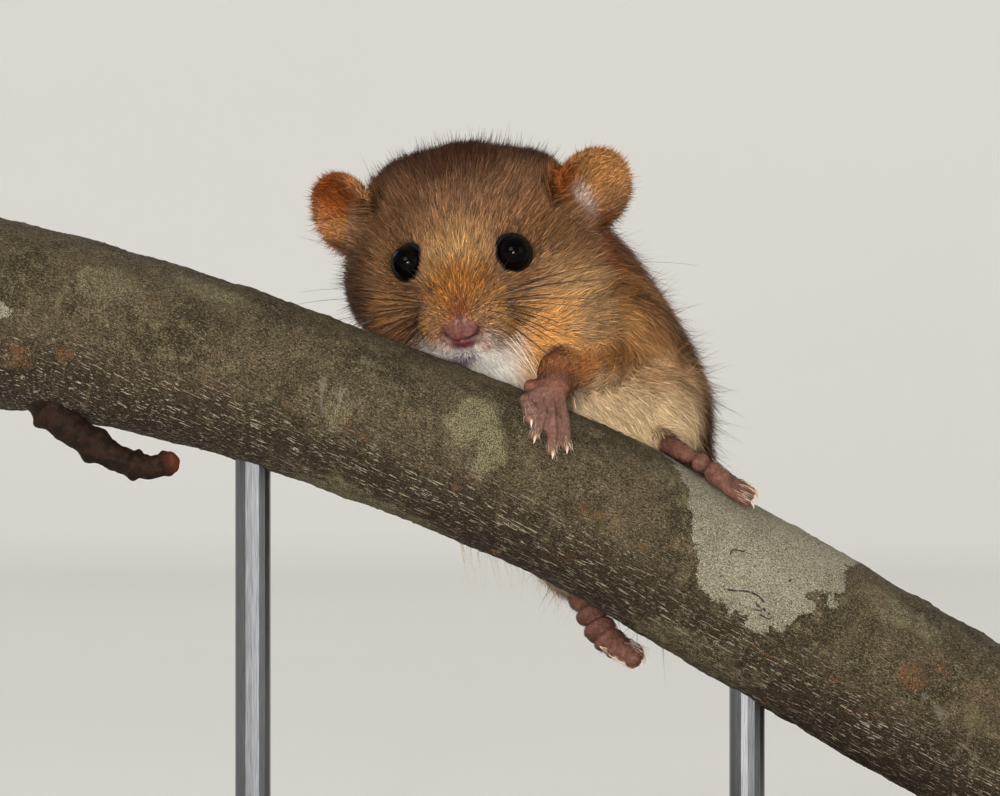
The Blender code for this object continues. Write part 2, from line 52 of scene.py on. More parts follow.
# Camera: level, straight ahead along +Y
CAMERA_AWAY, CAMERA_HEIGHT, FRAME_WIDTH = 0.5, 0.046, 0.085

# Perch: where its axis runs and how thick it is there, as (x, z, radius)
PERCH_STATIONS = (
    (-44.6, 53.6, 8.1),
    (-34.0, 51.4, 7.5),
    (-20.0, 47.4, 7.05),
    (-6.0, 42.3, 6.95),
    (8.0, 36.3, 7.05),
    (22.0, 28.4, 7.3),
    (34.0, 21.5, 7.35),
    (44.6, 15.4, 7.2),
)
TWIG_PATH = (  # (x, y, z, radius)
    (-39.5, -1.5, 47.5, 1.9),
    (-37.2, -2.6, 44.3, 1.5),
    (-33.2, -3.6, 41.4, 1.2),
    (-29.8, -4.2, 40.2, 1.0),
    (-27.0, -4.4, 40.8, 0.85),
)

# Head: its own axes run right, forward and up from midway between the eyes
HEAD_AT = (-3.0, 4.5, 58.2)
HEAD_PITCH, HEAD_ROLL, HEAD_YAW = 21.5, -5.2, -8.0
NOSE_TIP = Vector((0.0, 7.75, -3.5))
EYE_AT, EYE_RADIUS = (4.5, 2.55, 0.7), 1.53
EYE_LOOKS = {1: (0.42, 0.80, 0.50), -1: (-0.60, 0.66, 0.52)}  # the left eye's way, the right's
EAR_AT = (10.9, -6.2, 2.8)
EAR_TURN, EAR_TIP_BACK = 42.0, 8.0
EAR_HALF_WIDTH, EAR_HALF_HEIGHT = 3.9, 3.4
EAR_CUP, EAR_SHEET = 1.1, 0.55  # how deep the ear is cupped, and how thick its sheet is

# Trunk
SPINE_TOP, SPINE_END = Vector((3.9, 14.5, 55.4)), Vector((12.1, 17.0, 30.0))

# Tail, out to the tips of its coat, as (x, y, z, radius)
TAIL_PATH = (
    (12.6, 19.5, 30.5, 4.4),
    (16.5, 22.0, 28.0, 3.5),
    (22.5, 21.5, 26.2, 3.3),
    (29.0, 18.6, 23.0, 3.4),
    (35.0, 15.9, 19.6, 3.5),
    (41.0, 14.4, 16.2, 3.4),
    (46.5, 14.0, 13.8, 2.7),
    (50.2, 14.0, 12.6, 1.2),
)

BARE_TAIL = 0.36  # share of the tail's thickness that is flesh

# Digits that lie on the bark: knuckle and tip of each, as (x on the perch's axis, turn)
LEFT_FINGERS = (
    ((-0.5, 36.0), (0.1, 50.0)),
    ((0.15, 27.0), (1.4, 60.0)),
    ((0.9, 26.0), (2.6, 65.0)),
    ((1.7, 22.0), (3.6, 58.0)),
)
RIGHT_FINGERS = (
    ((-10.6, -66.0), (-12.6, -56.0)),
    ((-11.0, -75.0), (-13.8, -69.0)),
    ((-11.0, -84.0), (-13.8, -84.0)),
    ((-10.6, -93.0), (-12.8, -98.0)),
)
FINGER_RADII = (0.8, 0.53, 0.48, 0.49)
LEFT_PADS = (  # (x on the axis, turn, radius) of the sole's ridges
    (10.8, 9.0, 0.62),
    (12.0, 13.0, 0.8),
    (13.2, 19.0, 0.9),
    (14.3, 23.0, 0.88),
)
LEFT_TOES = (
    ((15.3, 26.0), (16.6, 28.0)),
    ((15.1, 17.0), (16.7, 17.0)),
    ((14.9, 9.0), (16.5, 7.0)),
    ((14.4, 1.0), (16.4, -5.0)),
    ((13.2, -6.0), (14.8, -17.0)),
)
LEFT_TOE_RADII = (0.6, 0.5, 0.48, 0.5)
RIGHT_TOES = (  # how far each digit is set back and turned in from the nearest
    (0.0, 0.0),
    (1.5, 0.15),
    (2.8, 0.1),
    (3.9, -0.3),
)
RIGHT_PADS = (  # (x, y, z, radius) of the pads of the nearest digit, from heel to tip
    (7.3, 5.4, 28.7, 1.5),
    (8.0, 4.4, 27.2, 1.5),
    (8.7, 3.8, 25.9, 1.4),
    (9.6, 3.4, 24.9, 1.2),
    (10.5, 3.2, 24.3, 0.95),
    (11.4, 3.1, 23.7, 0.95),
)

RIDGE = 1.12  # from one pad of a foot to the next

# Skin
VOXEL = 0.26
SKIN_TRIANGLES = 175000
OFF_BARK = 0.12  # of the skin over the bark it lies on


# ---- node trees
class Wire:
    """An output socket: sums and products with it add Math nodes to its tree."""

    def __init__(self, graph, socket):
        self.graph, self.socket = graph, socket

    def math(self, operation, *others):
        return self.graph.node("ShaderNodeMath", dict(enumerate(others)), operation=operation)

    def __add__(self, other):
        return self.math("ADD", self, other)

    def __radd__(self, other):
        return self.math("ADD", other, self)

    def __sub__(self, other):
        return self.math("SUBTRACT", self, other)

    def __rsub__(self, other):
        return self.math("SUBTRACT", other, self)

    def __mul__(self, other):
        return self.math("MULTIPLY", self, other)

    def __rmul__(self, other):
        return self.math("MULTIPLY", other, self)

    def rise(self, low, high):
        """0 below low and 1 above high, with a smooth step between; low may be the higher."""
        return self.graph.node("ShaderNodeMapRange", {
            "Value": self, "From Min": low, "From Max": high}, interpolation_type="SMOOTHSTEP")

    def out(self, name):
        return Wire(self.graph, self.socket.node.outputs[name])


class Graph:
    """A node tree, with one way to add any node."""

    def __init__(self, tree):
        self.tree = tree

    def node(self, kind, inputs=None, output=0, **settings):
        """Adds a node with its settings, and feeds or sets its inputs."""
        made = self.tree.nodes.new(kind)
        for name, value in settings.items():
            setattr(made, name, value)
        for name, value in (inputs or {}).items():
            if isinstance(value, Wire):
                self.tree.links.new(value.socket, made.inputs[name])
            else:
                made.inputs[name].default_value = value
        return Wire(self, made.outputs[output])


class Finish(Graph):
    """A material with one Principled shader, whose even values are set on its sockets."""

    def __init__(self, name, **sockets):
        self.material = bpy.data.materials.new(name)
        self.material.use_nodes = True
        super().__init__(self.material.node_tree)
        self.shader = self.tree.nodes["Principled BSDF"]
        for socket, value in sockets.items():
            self.shader.inputs[socket.replace("_", " ")].default_value = value

    def fed(self, **wires):
        """Feeds the shader's sockets and gives the finished material."""
        for socket, wire in wires.items():
            self.tree.links.new(wire.socket, self.shader.inputs[socket.replace("_", " ")])
        return self.material

    def attribute(self, name, output="Fac"):
        return self.node("ShaderNodeAttribute", None, output, attribute_name=name)

    def place(self, scale=1000.0, turn=(0.0, 0.0, 0.0), stretch=(1.0, 1.0, 1.0)):
        """The spot on the object, in units of 1 / scale metres."""
        return self.node("ShaderNodeMapping", {
            "Vector": self.node("ShaderNodeTexCoord", None, "Object"),
            "Rotation": [math.radians(a) for a in turn],
            "Scale": [1 / (scale * part) for part in stretch]}, vector_type="TEXTURE")

    def noise(self, at, scale=1.0, detail=2.0, rough=0.5):
        return self.node("ShaderNodeTexNoise", {
            "Vector": at, "Scale": scale, "Detail": detail, "Roughness": rough})

    def blend(self, share, first, second, way="MIX"):
        return self.node("ShaderNodeMix", {
            0: share, 6: colour_of(first), 7: colour_of(second)}, 2,
            data_type="RGBA", blend_type=way)

    def layers(self, colour, *rest):
        """Lays colours over the first one, each given as (how much of it, the colour)."""
        for share, above in rest:
            colour = self.blend(share, colour, above)
        return colour

    def bump(self, height, depth):
        """A bump whose height of 1 stands this many millimetres high."""
        return self.node("ShaderNodeBump", {
            "Height": height, "Distance": depth * MM, "Strength": 1.0})


def colour_of(given):
    return given if isinstance(given, Wire) else (*rgb(given), 1.0)


def rgb(code):
    """Linear colour of a written one such as '8a6547', or the numbers as they are."""
    if not isinstance(code, str):
        return tuple(code)
    parts = [int(code[k : k + 2], 16) / 255 for k in (0, 2, 4)]
    return tuple(v / 12.92 if v <= 0.04045 else ((v + 0.055) / 1.055) ** 2.4 for v in parts)


# ---- shapes in space
def lengths(rows):
    return np.linalg.norm(rows, axis=-1)


def unit(rows):
    """The rows at a length of one."""
    return rows / np.maximum(lengths(rows), 1e-9)[:, None]


def towards(way):
    return unit(np.array(way, float)[None])[0]


def clamp(values):
    return np.clip(values, 0.0, 1.0)


def head_turn():
    pitch, roll, yaw = (math.radians(a) for a in (HEAD_PITCH, HEAD_ROLL, HEAD_YAW))
    turn = Matrix.Rotation(yaw, 3, "Z") @ Matrix.Rotation(roll, 3, "Y")
    return turn @ Matrix.Rotation(pitch, 3, "X")


def in_head(right, forward, up):
    return Vector(HEAD_AT) + head_turn() @ Vector((right, -forward, up))


def to_head(at):
    """The same points along the head's own axes: right, forward and up."""
    local = (at - np.array(HEAD_AT)) @ np.array(head_turn())
    return local * (1.0, -1.0, 1.0)


def way_in_head(right, forward, up):
    return head_turn() @ Vector((right, -forward, up))


def ear_turn(side):
    turn = head_turn() @ Euler((math.radians(-EAR_TIP_BACK), 0, 0)).to_matrix()
    return turn @ Matrix.Rotation(math.radians(side * EAR_TURN), 3, "Z")


def ear_frame(side):
    """Centre of an ear, and its turn: its own axes run across it, back through it and up it."""
    return in_head(side * EAR_AT[0], EAR_AT[1], EAR_AT[2]), ear_turn(side)


def smooth_path(stations, count):
    """Points on a Catmull-Rom curve through the stations, evenly spread over its spans."""
    rows = np.array(stations, float)
    rows = np.vstack([2 * rows[0] - rows[1], rows, 2 * rows[-1] - rows[-2]])
    out = []
    for place in np.linspace(0.0, len(stations) - 1 - 1e-9, count):
        span, t = int(place), place - int(place)
        a, b, c, d = rows[span : span + 4]
        out.append(
            0.5 * (2 * b + (c - a) * t + (2 * a - 5 * b + 4 * c - d) * t**2
                   + (3 * b - 3 * c + d - a) * t**3)
        )
    return np.array(out)


def perch_path(count):
    return smooth_path([(x, 0.0, z, radius) for x, z, radius in PERCH_STATIONS], count)


PERCH = perch_path(120)


def on_bark(x, turn, height):
    """A point over the bark beside the axis at x: turn in degrees from the top to the front."""
    place = int(np.clip(np.searchsorted(PERCH[:, 0], x), 1, len(PERCH) - 2))
    along = PERCH[place + 1] - PERCH[place - 1]
    up = Vector((-along[2], 0.0, along[0])).normalized()
    out = up * math.cos(math.radians(turn)) + Vector((0, -1, 0)) * math.sin(math.radians(turn))
    return Vector(PERCH[place][:3]) + out * (PERCH[place][3] + height)


def over_bark(at):
    """Height of each point over the bark, and the way straight out of it."""
    slant = (PERCH[-1] - PERCH[0])[[0, 2]]
    slant = slant / lengths(slant)
    marks = PERCH[:, [0, 2]] @ slant
    share = at[:, [0, 2]] @ slant
    axis = np.stack([np.interp(share, marks, PERCH[:, k]) for k in range(4)], axis=1)
    out = at - axis[:, :3]
    # only what stands across the axis counts
    ahead = np.stack([np.interp(share + 0.5, marks, PERCH[:, k]) for k in range(3)], axis=1)
    run = unit(ahead - axis[:, :3])
    out -= run * (out * run).sum(1)[:, None]
    far = lengths(out)
    return far - axis[:, 3], out / np.maximum(far, 1e-9)[:, None]


def melted(one, other, melt):
    """The lesser of two distances, with a fillet between them."""
    share = clamp(0.5 + 0.5 * (one - other) / melt)
    return one * (1.0 - share) + other * share - melt * share * (1.0 - share)


def blocks(at, size=7.0):
    """Rows of points that lie close together, block by block."""
    cell = np.floor(at / size).astype(np.int64) + 2048
    key = (cell[:, 0] * 4096 + cell[:, 1]) * 4096 + cell[:, 2]
    order = np.argsort(key, kind="stable")
    return np.split(order, np.flatnonzero(np.diff(key[order])) + 1)


class Flesh:
    """Balls, tapering rods and cupped leaves that melt into each other.

    Each piece also says how the coat grows on it: how deep the coat is, how long its hairs
    are, which way they lie (None: away from the nose), and its part of the animal.
    """

    def __init__(self):
        self.pieces, self.cuts, self.lids, self.region = [], [], [], "trunk"

    def add(self, kind, shape, melt, coat, hair, lie, part, reach):
        lie = None if lie is None else np.array(Vector(lie).normalized())
        self.pieces.append(dict(
            kind=kind, shape=shape, melt=melt, coat=coat, hair=hair, lie=lie, part=part,
            region=self.region, middle=np.array(reach[0], float), reach=reach[1],
        ))

    def ball(self, centre, radii, axes=Matrix.Identity(3), melt=1.0, coat=0.0, hair=1.0,
             lie=None, part="head"):
        radii = np.array(radii, float) - coat
        shape = (np.array(centre, float), radii, np.array(axes))
        self.add("ball", shape, melt, coat, hair, lie, part, (centre, max(radii)))

    def rod(self, points, radii, melt, coat=0.0, hair=1.0, lie=None, part="leg"):
        """Rods from point to point, whose coat lies along them unless a lie is given."""
        coats = coat if isinstance(coat, list) else [coat] * len(radii)
        bare = [radius - depth for radius, depth in zip(radii, coats)]
        for k, (start, end) in enumerate(zip(points, points[1:])):
            a, b = np.array(start, float), np.array(end, float)
            way = b - a if lie is None else lie
            reach = ((a + b) / 2, lengths(b - a) / 2 + max(radii[k : k + 2]))
            shape = (a, b, tuple(bare[k : k + 2]))
            self.add("rod", shape, melt, coats[k], hair, way, part, reach)

    def leaf(self, side, melt=0.8, coat=0.3, hair=1.0, reach=5.0):
        """An ear's thin cupped sheet."""
        centre, turn = ear_frame(side)
        shape = (np.array(centre), np.array(turn))
        self.add("leaf", shape, melt, coat, hair, None, "ear", (centre, reach))

    def dent(self, centre, radii, axes=Matrix.Identity(3), melt=0.3):
        """An ellipsoid that is taken out of the flesh."""
        self.cuts.append((np.array(centre, float), np.array(radii, float), np.array(axes), melt))

    def lid(self, centre, axis, radii, melt):
        """A ring of flesh round the axis: radii of the ring and of its roll."""
        self.lids.append((np.array(centre, float), np.array(axis, float), radii, melt))

    @staticmethod
    def to_ball(at, centre, radii, axes):
        local = (at - centre) @ axes
        scaled = lengths(local / radii)
        steep = lengths(local / radii**2)
        return scaled * (scaled - 1.0) / np.maximum(steep, 1e-9)

    @staticmethod
    def to_rod(at, start, end, radii):
        run = end - start
        share = clamp((at - start) @ run / max(run @ run, 1e-9))
        centre = start + share[:, None] * run
        return lengths(at - centre) - (radii[0] + share * (radii[1] - radii[0]))

    @staticmethod
    def to_leaf(at, centre, turn):
        return leaf_distance(*((at - centre) @ turn).T)

    def gap_to(self, piece, at):
        measure = {"ball": self.to_ball, "rod": self.to_rod, "leaf": self.to_leaf}
        return measure[piece["kind"]](at, *piece["shape"])

    @staticmethod
    def to_ring(at, centre, axis, radii):
        along = (at - centre) @ axis
        across = np.sqrt(np.maximum(((at - centre) ** 2).sum(1) - along**2, 0.0))
        return np.hypot(across - radii[0], along) - radii[1]

    def pieces_near(self, at, beyond):
        """The pieces that can matter to a block of points."""
        low, high = at.min(axis=0), at.max(axis=0)
        middle, half = (low + high) / 2, lengths(high - low) / 2 + beyond
        return [k for k, piece in enumerate(self.pieces)
                if lengths(piece["middle"] - middle) < piece["reach"] + half]

    def distance(self, at):
        """Signed distance in millimetres from each point to the skin."""
        whole = np.empty(len(at))
        for rows in blocks(at):
            whole[rows] = self.block_distance(at[rows])
        return whole

    def block_distance(self, at):
        """The same for points that lie close together."""
        whole = np.full(len(at), 1e3)

        def near(middle, reach):
            return np.flatnonzero(((at - middle) ** 2).sum(1) < reach**2)

        for k in self.pieces_near(at, 6.0):
            piece = self.pieces[k]
            spots = near(piece["middle"], piece["reach"] + piece["melt"] + 3.0)
            new = self.gap_to(piece, at[spots])
            whole[spots] = melted(whole[spots], new, piece["melt"])
        for centre, radii, axes, melt in self.cuts:
            spots = near(centre, max(radii) + 2.0)
            if len(spots):
                new = self.to_ball(at[spots], centre, radii, axes)
                whole[spots] = -melted(-whole[spots], new, melt)
        for centre, axis, radii, melt in self.lids:
            spots = near(centre, sum(radii) + 1.5)
            if len(spots):
                new = self.to_ring(at[spots], centre, axis, radii)
                whole[spots] = melted(whole[spots], new, melt)
        return -melted(-whole, over_bark(at)[0] - OFF_BARK, 0.3)

    def distance_and_slope(self, at, step=0.02):
        """The distance of each point, and how it grows along X, Y and Z."""
        here = self.distance(at)
        out = np.empty_like(at)
        for axis in range(3):
            move = np.zeros(3)
            move[axis] = step
            out[:, axis] = (self.distance(at + move) - here) / step
        return here, out

    def shares(self, at, soft=0.5):
        """How much each piece counts at each point, as rows that add up to one."""
        share = np.zeros((len(at), len(self.pieces)), np.float32)
        for rows in blocks(at):
            mine = self.pieces_near(at[rows], 8.0)
            gaps = np.stack([self.gap_to(self.pieces[k], at[rows]) for k in mine], axis=1)
            weight = np.exp((gaps.min(axis=1)[:, None] - gaps) / soft)
            share[np.ix_(rows, mine)] = weight / weight.sum(axis=1)[:, None]
        return share

    def rough_mesh(self):
        """Overlapping shapes that fill the flesh, as the start of the skin."""
        bm = bmesh.new()
        for piece in self.pieces:
            if piece["kind"] == "ball":
                centre, radii, axes = piece["shape"]
                turn = Matrix(axes.tolist()).to_4x4()
                place = Matrix.Translation(Vector(centre)) @ turn @ Matrix.Diagonal((*radii, 1.0))
                bmesh.ops.create_icosphere(bm, subdivisions=3, radius=1.0, matrix=place)
            elif piece["kind"] == "rod":
                start, end, radii = piece["shape"]
                beads = max(2, int(lengths(end - start) / (0.4 * min(radii))) + 1)
                for share in np.linspace(0.0, 1.0, beads):
                    centre = Vector(start + share * (end - start))
                    size = radii[0] + share * (radii[1] - radii[0])
                    place = Matrix.Translation(centre)
                    bmesh.ops.create_icosphere(bm, subdivisions=2, radius=size, matrix=place)
            else:
                leaf_mesh(bm, *piece["shape"])
        return bm


# ---- ears
SHEET_HALF_WIDTH, SHEET_HALF_HEIGHT = EAR_HALF_WIDTH - 0.25, EAR_HALF_HEIGHT - 0.2  # in its coat


def leaf_middle(wide, high):
    """How far back the middle of the ear's sheet lies, and how near its edge a spot is."""
    share = np.hypot(wide / SHEET_HALF_WIDTH, high / SHEET_HALF_HEIGHT)
    return EAR_CUP * (1.0 - share**2), share


def leaf_distance(wide, deep, high):
    """How far each spot, in the ear's own axes, is from its sheet."""
    middle, share = leaf_middle(wide, high)
    past_rim = (share - 1.0) * SHEET_HALF_HEIGHT + EAR_SHEET / 2
    return np.hypot(np.maximum(past_rim, 0.0), deep - middle) - EAR_SHEET / 2


def leaf_mesh(bm, centre, turn):
    """Both faces of the ear's sheet, from the middle out to their shared rim."""
    rings, spokes, half_thick = 6, 36, 0.35
    turn, centre = Matrix(turn.tolist()), Vector(centre)

    def spot(share, angle, face):
        deep = EAR_CUP * (1.0 - share**2) - face * half_thick * math.sqrt(1.0 - share**6)
        return bm.verts.new(centre + turn @ Vector((
            SHEET_HALF_WIDTH * share * math.cos(angle), deep,
            SHEET_HALF_HEIGHT * share * math.sin(angle))))

    angles = [2 * math.pi * k / spokes for k in range(spokes)]
    shares = [1.0 - (1.0 - k / rings) ** 1.6 for k in range(1, rings)]
    rim = [spot(1.0, angle, 0) for angle in angles]
    made = []
    for face in (1, -1):
        middle = spot(0.0, 0.0, face)
        inner = [[spot(share, angle, face) for angle in angles] for share in shares]
        inner.append(rim)
        for k in range(spokes):
            n = (k + 1) % spokes
            made.append(bm.faces.new((middle, inner[0][k], inner[0][n])))
            for ring, outer in zip(inner, inner[1:]):
                made.append(bm.faces.new((ring[k], outer[k], outer[n], ring[n])))
    bmesh.ops.recalc_face_normals(bm, faces=made)


# ---- the animal's flesh
def eye_centre(side):
    return in_head(side * EYE_AT[0], EYE_AT[1], EYE_AT[2])


def eye_axis(side):
    return way_in_head(*EYE_LOOKS[side]).normalized()


def add_head(flesh):
    """Skull, muzzle, cheeks and throat, along the head's own axes."""
    flesh.region = "head"

    def part(right, forward, up, wide, long, high, melt, coat, hair, nod=0.0):
        tilt = head_turn() @ Matrix.Rotation(math.radians(nod), 3, "X")
        radii = (wide, long, high)
        flesh.ball(in_head(right, forward, up), radii, tilt, melt, coat, hair)

    part(0.0, -7.0, -0.8, 9.2, 8.6, 8.0, 1.0, 1.3, 2.5)  # skull
    part(-0.4, -7.0, 2.1, 5.6, 5.6, 5.6, 2.0, 1.3, 2.5)  # crown
    for side in (-1, 1):
        part(side * 5.1, -7.8, 1.7 - 0.25 * side, 4.6, 5.6, 4.8, 2.0, 1.2, 2.3)  # behind each ear
    part(0.0, -1.6, 0.2, 6.4, 6.0, 5.6, 2.0, 0.9, 1.9)  # forehead
    part(0.0, 2.2, -2.5, 3.9, 6.4, 4.2, 2.0, 0.55, 1.5, nod=12.0)  # bridge of the nose
    part(0.0, 5.6, -3.2, 2.5, 3.3, 2.4, 1.2, 0.35, 1.0)  # muzzle
    part(0.0, 3.4, -6.2, 3.4, 4.2, 2.3, 2.5, 0.4, 1.5)  # chin
    part(0.0, -3.0, -7.0, 6.4, 6.2, 4.4, 2.5, 0.9, 3.0)  # throat
    for side in (-1, 1):
        part(side * 4.9, -3.2, -3.1, 6.6, 6.6, 6.2, 2.4, 1.1, 2.5)  # cheek
        part(side * 1.8, 5.3, -4.1, 2.2, 2.8, 2.15, 1.2, 0.3, 1.1)  # whisker pad
        part(side * 0.62, 7.5, -3.6, 0.92, 1.05, 1.1, 0.45, 0.0, 0.3)  # wing of the nose
    part(*NOSE_TIP, 1.15, 0.95, 1.15, 0.5, 0.0, 0.3)  # nose
    part(0.0, 7.3, -4.4, 0.9, 0.85, 0.9, 1.1, 0.0, 0.4)  # its wet lower edge


def add_eyelids(flesh):
    for side in (-1, 1):
        centre, axis = eye_centre(side), eye_axis(side)
        flesh.ball(centre - axis * 1.5, (2.2,) * 3, melt=1.3, coat=0.0, hair=0.9)
        flesh.lid(centre + axis * 0.28, axis, (EYE_RADIUS, 0.14), 0.2)


NOSTRILS = (  # (out, below the nose's middle, half width, half height) along each slit
    (0.22, 1.04, 0.26, 0.06),
    (0.60, 0.95, 0.26, 0.08),
    (0.95, 0.84, 0.22, 0.14),
    (1.22, 0.70, 0.17, 0.20),
    (1.36, 0.44, 0.11, 0.22),
)


def add_nostrils(flesh):
    """The slits of the nostrils, the groove between them and the cleft of the lip."""
    _, forward, up = NOSE_TIP
    for side in (-1, 1):
        for out, low, wide, high in NOSTRILS:
            spot = in_head(side * out, forward + 0.76 - 0.36 * out, up - low + 0.09 * side * out)
            flesh.dent(spot, (wide, 0.02 + 0.31 * out, high), head_turn(), 0.1)
    flesh.dent(in_head(0.0, forward + 1.0, up + 0.2), (0.09, 0.22, 1.2), head_turn(), 0.3)
    flesh.dent(in_head(0.0, forward - 0.6, up - 2.5), (1.5, 0.9, 0.13), head_turn(), 0.4)


def add_ears(flesh):
    for side in (-1, 1):
        flesh.region = "ear_right" if side < 0 else "ear_left"
        flesh.leaf(side)
        flesh.ball(in_head(side * 7.6, -6.9, 1.6), (2.3, 1.6, 2.6), ear_turn(side), melt=1.2,
                   coat=0.0, hair=2.0)


def add_trunk(flesh):
    flesh.region = "trunk"
    along = (SPINE_END - SPINE_TOP).normalized()
    back = Vector((0, 1, 0)).cross(along).cross(along).normalized()
    across = back.cross(along)
    axes = Matrix((across, back, along)).transposed()
    lie = Vector((0.42, 0.10, -0.90))
    coat = dict(axes=axes, hair=3.9, lie=lie, part="trunk")
    flesh.ball((4.6, 13.8, 56.2), (7.2, 7.6, 7.5), melt=2.0, coat=1.7, **coat)  # neck
    cape = dict(melt=2.5, lie=(0.62, -0.25, -0.74), part="trunk")
    flesh.ball((10.0, 8.8, 51.4), (5.4, 5.2, 5.0), coat=1.4, hair=2.9, **cape)
    flesh.ball((12.2, 7.0, 44.2), (6.0, 6.6, 5.8), coat=1.5, hair=2.8, **cape)  # flank
    flesh.ball((7.6, 7.4, 45.6), (4.6, 5.0, 4.6), coat=1.2, hair=2.8, **cape)
    bib = dict(melt=2.5, coat=0.9, hair=2.2, part="head")
    flesh.ball((-1.2, 6.2, 50.4), (5.6, 4.9, 4.0), **bib)
    flesh.ball((3.8, 6.6, 50.9), (4.4, 4.6, 4.2), **bib)
    flesh.ball((6.2, 4.6, 51.9), (3.6, 3.9, 2.9), **bib)
    flesh.ball((6.7, 15.4, 50.0), (9.3, 8.6, 9.5), melt=2.5, coat=2.0, **coat)  # chest
    flesh.ball((10.4, 16.0, 46.4), (8.1, 8.6, 7.6), melt=2.5, coat=2.2, **coat)  # hump
    flesh.ball((8.4, 17.0, 42.3), (10.4, 9.5, 11.5), melt=2.5, coat=2.2, **coat)  # belly
    flesh.ball((10.6, 17.0, 35.6), (8.6, 9.0, 8.6), melt=2.5, coat=2.2, **coat)  # rump


def add_forelegs(flesh):
    """The left hand lies on top of the branch and the right one grips its far side."""
    flesh.region = "foreleg_left"
    shoulder, elbow = (9.0, 12.4, 53.6), (12.0, 9.2, 50.0)
    wrist, palm = (4.9, 0.5, 48.3), on_bark(1.0, 14.0, 1.35)
    flesh.rod((shoulder, elbow), (4.2, 2.9), 2.5, coat=1.2, hair=3.2, part="arm")
    flesh.rod((elbow, (8.2, 4.2, 49.2)), (2.5, 2.0), 2.0, coat=0.8, hair=2.0, part="arm")
    flesh.rod(((8.2, 4.2, 49.2), wrist), (2.0, 1.5), 1.5, coat=0.3, hair=1.3, part="arm")
    flesh.rod((wrist, palm), (1.5, 1.4), 0.8, coat=0.12, hair=1.0, part="hand")
    for knuckle, tip in LEFT_FINGERS:
        add_digit(flesh, palm, knuckle, tip, FINGER_RADII)
    thumb = on_bark(-1.0, 14.0, 0.8)
    flesh.rod((palm, thumb), (0.95, 0.62), 0.4, coat=0.04, hair=0.6, part="hand")

    flesh.region = "foreleg_right"
    shoulder, elbow = (-0.4, 14.6, 51.4), (-3.2, 13.6, 46.8)
    wrist, palm = (-6.6, 9.8, 45.4), on_bark(-9.0, -79.0, 1.35)
    flesh.rod((shoulder, elbow), (4.0, 2.8), 1.5, coat=1.2, hair=3.2, part="arm")
    flesh.rod((elbow, wrist), (2.4, 1.6), 1.0, coat=0.5, hair=1.8, part="arm")
    flesh.rod((wrist, palm), (1.5, 1.2), 0.8, coat=0.15, hair=1.0, part="hand")
    for knuckle, tip in RIGHT_FINGERS:
        add_digit(flesh, palm, knuckle, tip, FINGER_RADII)


def add_digit(flesh, palm, knuckle, tip, radii, part="digit"):
    """A finger or toe that lies along the bark from the palm out to its padded tip."""
    bare = dict(coat=0.04, hair=0.7, part=part)
    middle = [(a + b) / 2 for a, b in zip(knuckle, tip)]
    spots = [on_bark(*spot, GAP + radius) for spot, radius in
             zip((knuckle, middle, tip), radii[1:])]
    flesh.rod((palm, spots[0]), radii[:2], 0.35, **bare)
    flesh.rod(spots, radii[1:], 0.1, **bare)
    for share in (0.3, 0.65):  # joints
        flesh.ball(spots[0].lerp(spots[-1], share), (radii[2] * 1.13,) * 3, melt=0.1, **bare)


def add_ridges(flesh, spots, radii):
    """Flat pads one behind another along the sole or a toe."""
    length = sum((b - a).length for a, b in zip(spots, spots[1:]))
    rows = [(*spot, radius) for spot, radius in zip(spots, radii)]
    path = smooth_path(rows, max(2, round(length / RIDGE) + 1))
    for row, way in zip(path, np.gradient(path[:, :3], axis=0)):
        way = Vector(way).normalized()
        side = way.orthogonal().normalized()
        axes = Matrix((way, side, way.cross(side))).transposed()
        flesh.ball(row[:3], (0.66 * RIDGE, row[3], row[3] * 0.95), axes, 0.2, coat=0.03,
                   hair=0.8, part="foot", lie=way)


def right_toe_spot(spot, back, inward):
    share = (spot[0] - 7.0) / 4.0
    return Vector(spot) + Vector((inward * share, back * 0.8, 0.12 * back * share))


def add_hindlegs(flesh):
    """The left foot stands on the branch and the right one hangs below it."""
    flesh.region = "hindleg_left"
    thigh = dict(coat=1.8, hair=3.6, lie=(0.5, 0.0, -0.86), part="trunk")
    flesh.rod(((13.0, 17.5, 38.6), (14.4, 12.6, 43.4)), (6.0, 4.2), 2.0, **thigh)
    flesh.rod(((14.4, 12.6, 43.4), (12.9, 6.4, 42.2)), (3.5, 1.7), 1.6, coat=0.6, hair=1.8)
    pads = [on_bark(x, turn, GAP + radius) for x, turn, radius in LEFT_PADS]
    flesh.rod(((12.9, 6.4, 42.2), pads[0]), (1.6, 0.8), 1.6, coat=0.08, hair=0.8, part="foot")
    for back in (0.0, 1.7, 3.0):
        row = [spot + Vector((0.0, back, -0.1 * back)) for spot in pads]
        add_ridges(flesh, row, [radius for _, _, radius in LEFT_PADS])
    ball = pads[-1]
    for knuckle, tip in LEFT_TOES:
        add_digit(flesh, ball, knuckle, tip, LEFT_TOE_RADII, "foot")

    flesh.region = "hindleg_right"
    flesh.rod(((8.0, 17.5, 33.4), (2.8, 13.4, 35.0)), (6.0, 3.8), 2.0, **thigh)
    flesh.rod(((2.8, 13.4, 35.0), (6.2, 9.8, 32.6)), (3.2, 1.9), 1.2, coat=0.6, hair=1.8)
    foot = ((6.2, 9.8, 32.6), (7.2, 7.6, 30.6), RIGHT_PADS[0][:3])
    flesh.rod(foot, (1.8, 1.5, 1.3), 0.8, coat=0.08, hair=0.8, part="foot")
    for back, inward in RIGHT_TOES:
        pads = RIGHT_PADS[0 if back == 0 else 2 :]
        row = [right_toe_spot(pad[:3], back, inward) for pad in pads]
        add_ridges(flesh, row, [pad[3] for pad in pads])


